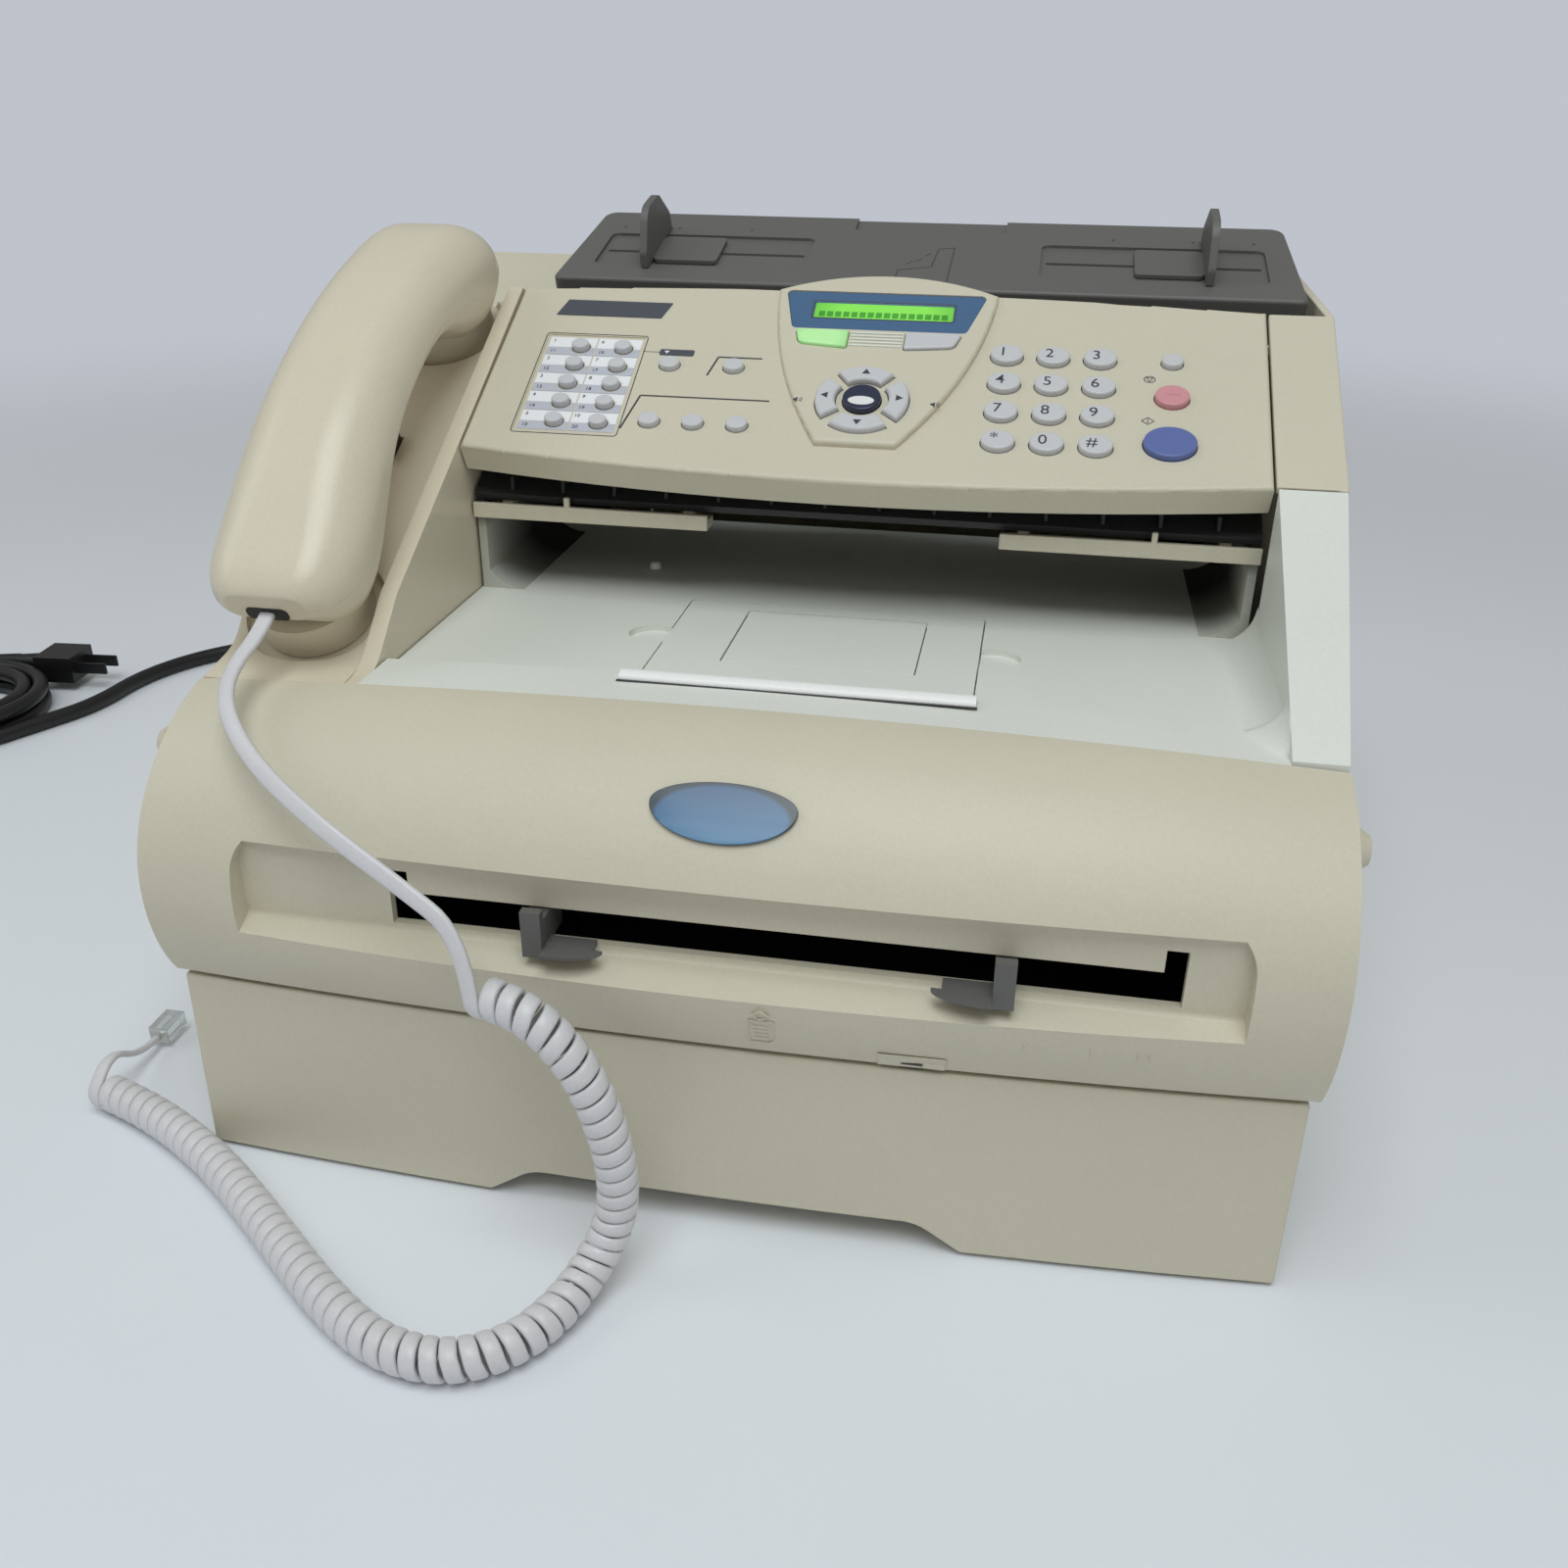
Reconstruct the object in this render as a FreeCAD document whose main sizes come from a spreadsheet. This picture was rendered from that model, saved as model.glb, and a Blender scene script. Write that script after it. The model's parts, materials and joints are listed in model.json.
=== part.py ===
"""Laser fax machine with a corded handset, as a parametric document (millimetres).

X runs to the right, Y to the back and Z up. The origin is on the table, in the
middle of the machine. The control panel, the shoulder beside the paper exit and
the handset all follow one sloping plane, called the slope here.
"""
import FreeCAD, Part
import math
import os
from types import SimpleNamespace
from FreeCAD import Placement, Rotation, Vector

# Driving dimensions, in millimetres and degrees
SIZES = {
    "rear_y": 187.0,
    "cover_half": 180.0,
    "front_taper": 6.0,
    "wall": 3.0,
    "fit": 0.3,
    "key_gap": 0.35,
    "pin_gap": 0.05,
    "foot_height": 2.0,
    "foot_radius": 8.0,
    "slope_y": -131.0,
    "slope_lift": 3.0,
    "slope_angle": 29.0,
    "cassette_top": 66.8,
    "cassette_depth": 300.0,
    "cassette_height": 54.0,
    "front_gap": 1.7,
    "front_bow": 6.5,
    "front_arch": 4.5,
    "front_reach": 187.0,
    "front_room": 29.0,
    "deck_gap": 1.2,
    "deck_thick": 3.0,
    "rail_inset": 15.0,
    "rail_width": 18.0,
    "frame_inset": 20.0,
    "tray_z": 150.0,
    "tray_thick": 6.0,
    "cradle_width": 58.5,
    "shoulder_width": 22.0,
    "panel_gap_left": 0.5,
    "panel_gap_right": 1.2,
    "panel_front": 109.0,
    "panel_back": 199.0,
    "panel_bow": 8.0,
    "panel_arch": 4.5,
    "panel_deep": 11.0,
    "panel_plate": 3.0,
    "shield_high": 2.4,
    "key_high": 2.2,
    "key_skirt": 1.0,
    "key_stem": 4.6,
    "paper_x": 17.0,
    "manual_half": 64.0,
    "scan_shift": 10.75,
    "scan_half": 108.0,
    "doc_inset": 35.0,
    "doc_slope": 15.8,
    "doc_behind": 17.45,
    "doc_over": 1.92,
    "doc_length": 70.0,
    "doc_deep": 17.5,
    "chute_n": -22.0,
    "flap_left": -40.0,
    "flap_right": 67.0,
    "flap_front": -105.0,
    "flap_back": -24.0,
    "flap_thick": 3.0,
    "flap_pin": 0.9,
    "leaf_pin": 0.8,
    "door_pin": 1.0,
    "handset_inset": 29.5,
    "lead_width": 3.2,
    "curl_outer": 12.8,
    "curl_wire": 2.6,
    "curl_turns": 64.0,
    "mains_dia": 8.0,
    "coil_mid": 88.0,
    "coil_turns": 4.7,
    "relief_inset": 30.0,
    "relief_z": 46.0,
    "relief_length": 30.0,
}
# Places and sizes that follow from the driving dimensions
TIES = {
    "front_half": "cover_half - front_taper",
    "rail_half": "cover_half - rail_inset",
    "side_frame": "cover_half - frame_inset",
    "cassette_half": "rail_half - rail_width",
    "deck_front": "front_room - front_reach",
    "deck_z": "cassette_top + deck_gap",
    "slope_z": "tray_z + slope_lift",
    "recess_left": "cradle_width - cover_half",
    "recess_right": "cover_half - shoulder_width",
    "panel_left": "recess_left + panel_gap_left",
    "panel_right": "recess_right - panel_gap_right",
    "handset_x": "recess_left - handset_inset",
    "scan_x": "(recess_left + recess_right) / 2 + scan_shift",
    "doc_half": "cover_half - doc_inset",
    "doc_y": "slope_y + panel_back * cos(slope_angle) + doc_behind",
    "doc_z": "slope_z + panel_back * sin(slope_angle) + doc_over",
    "relief_x": "relief_inset - cover_half",
}

doc = FreeCAD.newDocument("fax_machine")
sheet = doc.addObject("Spreadsheet::Sheet", "dims")
cells = {name: str(value) for name, value in SIZES.items()}
cells.update({name: "=" + formula for name, formula in TIES.items()})
for row, (name, content) in enumerate(cells.items(), 1):
    sheet.set("A%d" % row, name)
    sheet.set("B%d" % row, content)
    sheet.setAlias("B%d" % row, name)
doc.recompute()
d = SimpleNamespace(**{name: float(sheet.get(name)) for name in cells})

NODES = []
SLOPE = math.radians(d.slope_angle)
SLOPE_FRAME = Placement(Vector(0, d.slope_y, d.slope_z), Rotation(Vector(1, 0, 0), d.slope_angle))
DOC_FRAME = Placement(Vector(0, d.doc_y, d.doc_z), Rotation(Vector(1, 0, 0), d.doc_slope))


def on_slope(v, n=0.0):
    """Y and Z of a point v up the slope and n above it."""
    y = d.slope_y + v * math.cos(SLOPE) - n * math.sin(SLOPE)
    z = d.slope_z + v * math.sin(SLOPE) + n * math.cos(SLOPE)
    return (y, z)


def slope_z_at(y, n=0.0):
    """Height of the plane n above the slope, over the line at y."""
    return d.slope_z + (y - d.slope_y) * math.tan(SLOPE) + n / math.cos(SLOPE)


# Outlines


def flat(point):
    return Vector(point[0], point[1], 0)


def outline(points):
    """Closed outline of lines. A third number on a point rounds that corner."""
    count = len(points)
    starts, ends, arcs = [], [], []
    for i, point in enumerate(points):
        here = flat(point)
        radius = point[2] if len(point) > 2 else 0.0
        if radius <= 0.0:
            starts.append(here)
            ends.append(here)
            arcs.append(None)
            continue
        back = (flat(points[i - 1]) - here).normalize()
        ahead = (flat(points[(i + 1) % count]) - here).normalize()
        half = back.getAngle(ahead) / 2
        reach = radius / math.tan(half)
        middle = (back + ahead).normalize()
        centre = here + middle * (radius / math.sin(half))
        starts.append(here + back * reach)
        ends.append(here + ahead * reach)
        arcs.append(centre - middle * radius)
    edges = []
    for i in range(count):
        if arcs[i] is not None:
            edges.append(Part.Arc(starts[i], arcs[i], ends[i]))
        after = starts[(i + 1) % count]
        if (after - ends[i]).Length > 1e-6:
            edges.append(Part.LineSegment(ends[i], after))
    return edges


def rectangle(u0, v0, u1, v1, radius=0.0):
    return outline([(u0, v0, radius), (u1, v0, radius), (u1, v1, radius), (u0, v1, radius)])


def oval(u, v, half_u, half_v):
    if abs(half_u - half_v) < 1e-6:
        return [Part.Circle(Vector(u, v, 0), Vector(0, 0, 1), half_u)]
    return [Part.Ellipse(Vector(u, v, 0), half_u, half_v)]


def ring_sector(u, v, inner, outer, middle, spread):
    """Sector of a ring about (u, v), spread degrees each side of the middle angle."""
    def at(radius, angle):
        turn = math.radians(angle)
        return Vector(u + radius * math.cos(turn), v + radius * math.sin(turn), 0)

    low, high = middle - spread, middle + spread
    return [
        Part.Arc(at(outer, low), at(outer, middle), at(outer, high)),
        Part.LineSegment(at(outer, high), at(inner, high)),
        Part.Arc(at(inner, high), at(inner, middle), at(inner, low)),
        Part.LineSegment(at(inner, low), at(outer, low)),
    ]


# Bodies and features


def new_body(label, placement=None, node=True):
    body = doc.addObject("PartDesign::Body", label)
    body.Label = label
    if placement is not None:
        body.Placement = placement
    if node:
        NODES.append(body)
    return body


def add_sketch(body, plane, edges, offset):
    """Sketch on one of the body's own planes, moved along the plane's normal."""
    sketch = body.newObject("Sketcher::SketchObject", "profile")
    support = [item for item in body.Origin.OriginFeatures if item.Role == plane][0]
    sketch.AttachmentSupport = [(support, "")]
    sketch.MapMode = "FlatFace"
    sketch.setExpression("AttachmentOffset.Base.z", str(offset))
    sketch.addGeometry(edges, False)
    return sketch


def pad(body, plane, edges, start, stop, cut=False):
    """Pad, or pocket, an outline between two stations along the plane's normal."""
    sketch = add_sketch(body, plane, edges, stop if cut else start)
    kind = "PartDesign::Pocket" if cut else "PartDesign::Pad"
    feature = body.newObject(kind, "cut" if cut else "pad")
    feature.Profile = sketch
    feature.setExpression("Length", "(%s) - (%s)" % (stop, start))
    return feature


def bar_x(body, points, x0, x1, cut=False):
    """Prism along X of a side-view outline (y, z)."""
    return pad(body, "YZ_Plane", outline(points), x0, x1, cut)


def bar_y(body, edges, y0, y1, cut=False):
    """Prism along Y of a front-view outline (x, z)."""
    return pad(body, "XZ_Plane", edges, "-(%s)" % y1, "-(%s)" % y0, cut)


def bar_z(body, edges, z0, z1, cut=False):
    """Prism along Z of a plan outline (x, y)."""
    return pad(body, "XY_Plane", edges, z0, z1, cut)


def pin_x(body, at, radius, x0, x1, cut=False):
    """Round pin along X, or its bore, about the axis at (y, z)."""
    ring = [Part.Circle(flat(at), Vector(0, 0, 1), radius)]
    return pad(body, "YZ_Plane", ring, x0, x1, cut)


def face_at(feature, height):
    """Name of the level face of a feature at this height."""
    doc.recompute()
    for index, face in enumerate(feature.Shape.Faces, 1):
        box = face.BoundBox
        if box.ZLength < 1e-4 and abs(box.ZMax - height) < 1e-4:
            return "Face%d" % index
    raise ValueError("no level face at %.2f" % height)


def round_top(body, feature, height, radius):
    """Fillet round the level face at this height."""
    fillet = body.newObject("PartDesign::Fillet", "soft_edge")
    fillet.Base = (feature, [face_at(feature, height)])
    fillet.Radius = radius
    return fillet


def bevel_top(body, feature, height, size):
    """Chamfer round the level face at this height."""
    bevel = body.newObject("PartDesign::Chamfer", "bevel")
    bevel.Base = (feature, [face_at(feature, height)])
    bevel.Size = size
    return bevel


def solid_feature(label, shape, placement=None, node=True):
    """Piece whose lofted or swept form is set directly."""
    piece = doc.addObject("Part::Feature", label)
    piece.Label = label
    piece.Shape = shape
    if placement is not None:
        piece.Placement = placement
    if node:
        NODES.append(piece)
    return piece


# Chassis


def base_frame():
    """Rails beside the cassette, deck over it, side frames and cover hinge arms."""
    body = new_body("base_frame")
    low = d.foot_height
    high = d.deck_z
    for side in (-1, 1):
        ledge = d.cassette_half - 12.0
        inner = d.cassette_half + 1.0
        rail = [
            (side * ledge, low),
            (side * d.rail_half, low),
            (side * d.rail_half, high),
            (side * inner, high),
            (side * inner, low + 2.0),
            (side * ledge, low + 2.0),
        ]
        bar_y(body, outline(rail), "dims.deck_front", "dims.rear_y - 9")
    deck = rectangle(-d.rail_half, d.deck_front, d.rail_half, d.rear_y - 9.0)
    bar_z(body, deck, "dims.deck_z", "dims.deck_z + dims.deck_thick")
    back = rectangle(-d.rail_half, low, d.rail_half, high)
    bar_y(body, back, "dims.rear_y - 13", "dims.rear_y - 9")
    top = d.deck_z + d.deck_thick
    beam = rectangle(-d.side_frame, top, d.side_frame, top + 9.0)
    bar_y(body, beam, "dims.deck_front", "dims.deck_front + 5")
    frame = [
        (d.deck_front + 8.0, top),
        (d.rear_y - 15.0, top),
        (d.rear_y - 15.0, d.tray_z - d.tray_thick - 20.0, 8.0),
        (d.rear_y - 97.0, d.tray_z - d.tray_thick, 12.0),
        (d.deck_front + 38.0, d.tray_z - d.tray_thick, 12.0),
        (d.deck_front + 8.0, top + 30.0, 8.0),
    ]
    bar_x(body, frame, "dims.side_frame", "dims.side_frame + dims.wall")
    bar_x(body, frame, "-dims.side_frame - dims.wall", "-dims.side_frame")
    for x in HINGE_X:
        arm = [
            (d.deck_front + 2.0, HINGE_Z - 2.5),
            (d.deck_front + 2.0, HINGE_Z + 2.5),
            (HINGE_Y - 2.5, HINGE_Z + 2.5, 2.4),
            (HINGE_Y - 2.5, HINGE_Z - 2.5, 2.4),
        ]
        bar_x(body, arm, "%s - 3" % x, "%s + 3" % x)
        pin_x(body, (HINGE_Y, HINGE_Z), HINGE_PIN, x - 8.0, x + 8.0)
    return body


def rubber_feet():
    """Four round feet under the rails, as one group."""
    feet = []
    spot_x = d.rail_half - d.foot_radius - 1.0
    for x in (-spot_x, spot_x):
        for y in (d.deck_front + 18.0, d.rear_y - 37.0):
            foot = Part.makeCone(d.foot_radius - 0.6, d.foot_radius, d.foot_height)
            foot.translate(Vector(x, y, 0))
            feet.append(foot)
    return solid_feature("rubber_feet", Part.makeCompound(feet))


def rear_roof():
    """Outer line of the roof and back, from under the document tray to the floor."""
    slope = math.tan(math.radians(d.doc_slope))
    low_y = d.doc_y + 3.5
    high_y = d.doc_y + d.doc_length * math.cos(math.radians(d.doc_slope)) + 0.15
    under = d.doc_deep / math.cos(math.radians(d.doc_slope))
    low_z = d.doc_z + (low_y - d.doc_y) * slope - under
    high_z = d.doc_z + (high_y - d.doc_y) * slope - under
    return [
        (low_y, low_z),
        (high_y, high_z),
        (d.rear_y - 19.0, high_z - 12.0),
        (d.rear_y - 4.0, high_z - 38.0),
        (d.rear_y, high_z - 54.0),
        (d.rear_y, 6.0),
    ]


def offset_line(points, distance):
    """Open line moved sideways, to the right of its direction."""
    moved = []
    for i, point in enumerate(points):
        here = flat(point)
        ways = []
        if i > 0:
            ways.append((here - flat(points[i - 1])).normalize())
        if i < len(points) - 1:
            ways.append((flat(points[i + 1]) - here).normalize())
        normals = [Vector(way.y, -way.x, 0) for way in ways]
        total = normals[0] if len(normals) == 1 else normals[0] + normals[1]
        unit = Vector(total).normalize()
        shift = unit * (distance / unit.dot(normals[0]))
        moved.append((here.x + shift.x, here.y + shift.y))
    return moved


DOOR = {"x0": 68.0 - d.cover_half, "x1": d.cover_half - 38.0, "z0": d.deck_z - 5.5, "z1": d.tray_z + 8.0}
DOOR_AXIS = (d.rear_y - d.wall / 2, DOOR["z0"] + 1.5)


def rear_cover():
    """Fixed roof and back wall, with the opening of the rear door and the lead gland."""
    body = new_body("rear_cover")
    roof = rear_roof()
    shell = roof + offset_line(roof, d.wall)[::-1]
    edge = "dims.cover_half - dims.wall - dims.fit"
    bar_x(body, shell, "-(%s)" % edge, edge)
    gap = 0.8
    door = rectangle(DOOR["x0"] - gap, DOOR["z0"] - 1.6, DOOR["x1"] + gap, DOOR["z1"] + gap, 2.0)
    bar_y(body, door, "dims.rear_y - 20", "dims.rear_y + 5", cut=True)
    for x in (32.0 - d.cover_half, d.cover_half - 30.0):
        for row in range(6):
            z = DOOR["z0"] + 33.5 + row * 9.0
            vent = rectangle(x - 12.0, z, x + 12.0, z + 4.0, 1.9)
            bar_y(body, vent, "dims.rear_y - 20", "dims.rear_y + 5", cut=True)
    jack_x, jack_z = 20.0 - d.cover_half, DOOR["z0"] + 3.5
    jack = rectangle(jack_x, jack_z, jack_x + 26.0, jack_z + 14.0, 1.0)
    bar_y(body, jack, "dims.rear_y - 20", "dims.rear_y + 5", cut=True)
    for end in (DOOR["x0"], DOOR["x1"]):
        pin_x(body, DOOR_AXIS, d.door_pin + d.pin_gap, end - 2.6, end + 2.6, cut=True)
    return body


def rear_door():
    """Drop-down door behind the fuser, on two pins near its lower edge."""
    body = new_body("rear_door")
    plate = rectangle(DOOR["x0"], DOOR["z0"], DOOR["x1"], DOOR["z1"], 1.2)
    bar_y(body, plate, "dims.rear_y - dims.wall", "dims.rear_y")
    centre = (DOOR["x0"] + DOOR["x1"]) / 2
    grip = rectangle(centre - 25.0, DOOR["z1"] - 16.0, centre + 25.0, DOOR["z1"] - 6.0, 4.0)
    bar_y(body, grip, "dims.rear_y - 1.5", "dims.rear_y + 1", cut=True)
    for row in range(4):
        z = DOOR["z0"] + 14.0 + row * 12.0
        rib = rectangle(DOOR["x0"] + 20.0, z, DOOR["x1"] - 20.0, z + 2.0)
        bar_y(body, rib, "dims.rear_y - dims.wall - 4", "dims.rear_y - dims.wall")
    for end in (DOOR["x0"], DOOR["x1"]):
        pin_x(body, DOOR_AXIS, d.door_pin, end - 2.4, end + 2.4)
    return body


TAPER_Y = d.slope_y + 95.0


def side_cover(label, side):
    """Side wall, narrower at the front, with a bottom flange on the rail."""
    body = new_body(label)
    half, front = d.cover_half, d.front_half
    seam = d.slope_y + 1.5
    plan = [
        (side * front, seam),
        (side * half, TAPER_Y),
        (side * half, d.rear_y),
        (side * (half - d.wall), d.rear_y),
        (side * (half - d.wall), TAPER_Y),
        (side * (front - d.wall), seam),
    ]
    roof = rear_roof()
    bar_z(body, outline(plan), "dims.foot_height + 2", "dims.doc_z + 20")
    ledge = d.tray_z - d.tray_thick - 0.5
    sky = d.doc_z + 70.0
    if side > 0:
        step = on_slope(d.panel_front + 0.5)
        crest = on_slope(d.panel_back - 1.0)
        top = [(seam - 9.0, ledge), (step[0], ledge), step, crest, roof[1], roof[2], roof[3], roof[4]]
    else:
        top = [(seam - 9.0, ledge), (roof[0][0], ledge), roof[0], roof[1], roof[2], roof[3], roof[4]]
    above = top + [(d.rear_y + 9.0, roof[4][1]), (d.rear_y + 9.0, sky), (seam - 9.0, sky)]
    x1 = "dims.cover_half + 5" if side > 0 else "-dims.front_half + dims.wall + 30"
    x0 = "dims.front_half - dims.wall - 30" if side > 0 else "-dims.cover_half - 5"
    bar_x(body, above, x0, x1, cut=True)
    flange = rectangle(side * d.rail_half, seam + 9.5, side * (front - 1.0), d.rear_y - 12.0)
    if side < 0:
        flange = rectangle(-front + 1.0, seam + 9.5, -d.rail_half, d.rear_y - 12.0)
    bar_z(body, flange, "dims.foot_height + 2", "dims.foot_height + 5")
    if side > 0:
        low = [on_slope(d.panel_front + 0.5, -d.wall), on_slope(d.panel_back - 1.0, -d.wall)]
        ledge_top = [on_slope(d.panel_front + 0.5), on_slope(d.panel_back - 1.0)]
        strip = ledge_top + low[::-1]
        bar_x(body, strip, "dims.panel_right + 0.7", "dims.cover_half - dims.wall / 2")
    return body


# Output tray and cradle


def top_cover():
    """Paper output tray: sunk floor, arched front rim, right shoulder on the slope and its cove."""
    body = new_body("top_cover")
    front = d.slope_y
    low = "dims.tray_z - dims.tray_thick"
    floor = outline([
        (d.recess_left + 0.2, front),
        (d.front_half - 0.4, front),
        (d.cover_half - 0.6, TAPER_Y),
        (d.recess_right + 2.0, TAPER_Y),
        (d.recess_right + 2.0, d.doc_y + 19.5),
        (d.recess_left + 0.2, d.doc_y + 19.5),
    ])
    bar_z(body, floor, low, "dims.tray_z")
    shoulder = outline([
        (d.recess_right, front),
        (d.front_half - 0.4, front),
        (d.cover_half - 0.6, TAPER_Y),
        (d.recess_right, TAPER_Y),
    ])
    bar_z(body, shoulder, "dims.tray_z - 1", "dims.slope_z + 60")
    x0, x1 = d.recess_left + 0.2, d.recess_right + 1.0
    rise = front_seam_z(0.0) - 0.3
    arch = [
        Part.LineSegment(Vector(x0, d.tray_z - 1, 0), Vector(x1, d.tray_z - 1, 0)),
        Part.LineSegment(Vector(x1, d.tray_z - 1, 0), Vector(x1, front_seam_z(x1) - 0.3, 0)),
        Part.Arc(Vector(x1, front_seam_z(x1) - 0.3, 0), Vector(0, rise, 0),
                 Vector(x0, front_seam_z(x0) - 0.3, 0)),
        Part.LineSegment(Vector(x0, front_seam_z(x0) - 0.3, 0), Vector(x0, d.tray_z - 1, 0)),
    ]
    bar_y(body, arch, "dims.slope_y", "dims.slope_y + 22")
    above = [
        (front - 5.0, rise + 1.2),
        (front + 22.5, d.tray_z),
        (front + 22.5, d.slope_z + 90.0),
        (front - 5.0, d.slope_z + 90.0),
    ]
    bar_x(body, above, "dims.recess_left - 5", "dims.recess_right", cut=True)
    cove = 14.0
    bulge = cove * (1.0 - math.sqrt(0.5))
    x, z = d.recess_right + 0.5, d.tray_z - 0.5
    hollow = [
        Part.LineSegment(Vector(x, z, 0), Vector(x, z + cove, 0)),
        Part.Arc(Vector(x, z + cove, 0), Vector(x - bulge, z + bulge, 0), Vector(x - cove, z, 0)),
        Part.LineSegment(Vector(x - cove, z, 0), Vector(x, z, 0)),
    ]
    slope_end = d.slope_y + 101.0
    bar_y(body, hollow, "dims.slope_y + 22", slope_end)
    over = [
        (front - 5.0, slope_z_at(front - 5.0)),
        (slope_end, slope_z_at(slope_end)),
        (slope_end, d.slope_z + 120.0),
        (front - 5.0, d.slope_z + 120.0),
    ]
    bar_x(body, over, d.recess_right - cove, "dims.cover_half + 5", cut=True)
    gap = 0.5
    pocket = rectangle(d.flap_left - gap, d.flap_front - gap, d.flap_right + gap, d.flap_back + gap, 2.0)
    bar_z(body, pocket, "dims.tray_z - dims.flap_thick - 0.9", "dims.tray_z + 9", cut=True)
    for x in (d.flap_left - 5.0, d.flap_right + 5.0):
        scoop = oval(x, (d.flap_front + d.flap_back) / 2 + 4.0, 9.0, 8.0)
        bar_z(body, scoop, "dims.tray_z - 2.2", "dims.tray_z + 9", cut=True)
    for end in (d.flap_left, d.flap_right):
        pin_x(body, FLAP_AXIS, d.flap_pin + d.pin_gap, end - 2.4, end + 2.4, cut=True)
    return body


def front_seam_z(x):
    """Height of the front cover's upper edge, which arches up to the middle."""
    return d.slope_z - 1.8 + d.front_arch * (1.0 - (x / d.front_half) ** 2)


CRADLE_DECK = -7.0
EAR_V, MOUTH_V = d.panel_back - 17.0, 36.0
CUP_RADIUS = 22.0


def handset_cradle():
    """Left block that carries the handset, with an ear cup, a mouth cup and a hook hole."""
    body = new_body("cradle_block", node=False)
    front, left = d.slope_y, d.recess_left - 0.3
    plan = outline([
        (left, front),
        (-d.front_half + 0.4, front),
        (-d.cover_half + 0.6, TAPER_Y),
        (-d.cover_half + 0.6, d.doc_y),
        (left, d.doc_y),
    ])
    bar_z(body, plan, "dims.tray_z - dims.tray_thick", "dims.slope_z + 110")
    shelf = d.slope_y + 23.0
    back = d.doc_y + 5.5
    sky = d.doc_z + 80.0
    deck_end = on_slope(d.panel_back - 1.0, CRADLE_DECK)
    above = [
        (front - 5.0, d.slope_z - 2.2),
        (shelf, d.slope_z + 1.0, 20.0),
        (shelf + 8.0, slope_z_at(shelf + 8.0, CRADLE_DECK), 14.0),
        deck_end,
        (back, deck_end[1] - 12.0),
        (back, sky),
        (front - 5.0, sky),
    ]
    bar_x(body, above, "-dims.cover_half - 5", "dims.recess_left - 6", cut=True)
    wall_end = on_slope(d.panel_back - 1.0)
    beside = [
        (front - 5.0, d.slope_z - 2.2),
        (front + 14.0, d.slope_z - 1.0, 20.0),
        (on_slope(40.0)[0], on_slope(40.0, -2.0)[1], 20.0),
        wall_end,
        (back, wall_end[1] - 14.0),
        (back, sky),
        (front - 5.0, sky),
    ]
    bar_x(body, beside, "dims.recess_left - 6", "dims.recess_left + 5", cut=True)
    cups = []
    for name, v in (("ear_cup", EAR_V), ("mouth_cup", MOUTH_V)):
        cup = doc.addObject("Part::Cylinder", name)
        cup.Radius = CUP_RADIUS + 1.5
        cup.Height = 40.0
        y, z = on_slope(v, CRADLE_DECK - 4.0)
        cup.Placement = Placement(Vector(d.handset_x, y, z), SLOPE_FRAME.Rotation)
        cups.append(cup)
    hook = doc.addObject("Part::Box", "hook_hole")
    hook.Length, hook.Width, hook.Height = HOOK_W + 0.8, HOOK_L + 0.8, 40.0
    y, z = on_slope(HOOK_V - HOOK_L / 2 - 0.4, CRADLE_DECK - 12.0)
    hook.Placement = Placement(Vector(d.handset_x - HOOK_W / 2 - 0.4, y, z), SLOPE_FRAME.Rotation)
    cups.append(hook)
    base = body
    for index, tool in enumerate(cups):
        cut = doc.addObject("Part::Cut", "cradle_cut_%d" % index)
        cut.Base, cut.Tool = base, tool
        base = cut
    base.Label = "handset_cradle"
    NODES.append(base)
    return base


HOOK_W, HOOK_L, HOOK_V = 7.0, 13.0, 112.0


def hook_switch():
    """Sprung tab in the cradle deck that rises when the handset is lifted."""
    body = new_body("hook_switch", SLOPE_FRAME)
    x0 = d.handset_x - HOOK_W / 2
    v0 = HOOK_V - HOOK_L / 2
    deck = str(CRADLE_DECK)
    tab = bar_z(body, rectangle(x0, v0, x0 + HOOK_W, v0 + HOOK_L, 1.5), deck + " - 11.5", deck + " + 5")
    round_top(body, tab, CRADLE_DECK + 5.0, 1.2)
    return body


# Scanner under the control panel


PIVOT_V, PIVOT_N, PIVOT_R = d.panel_back - 9.0, -7.5, 2.4
CHUTE_FRONT, CHUTE_BACK = d.panel_front - 1.0, d.panel_back - 3.0


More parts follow.
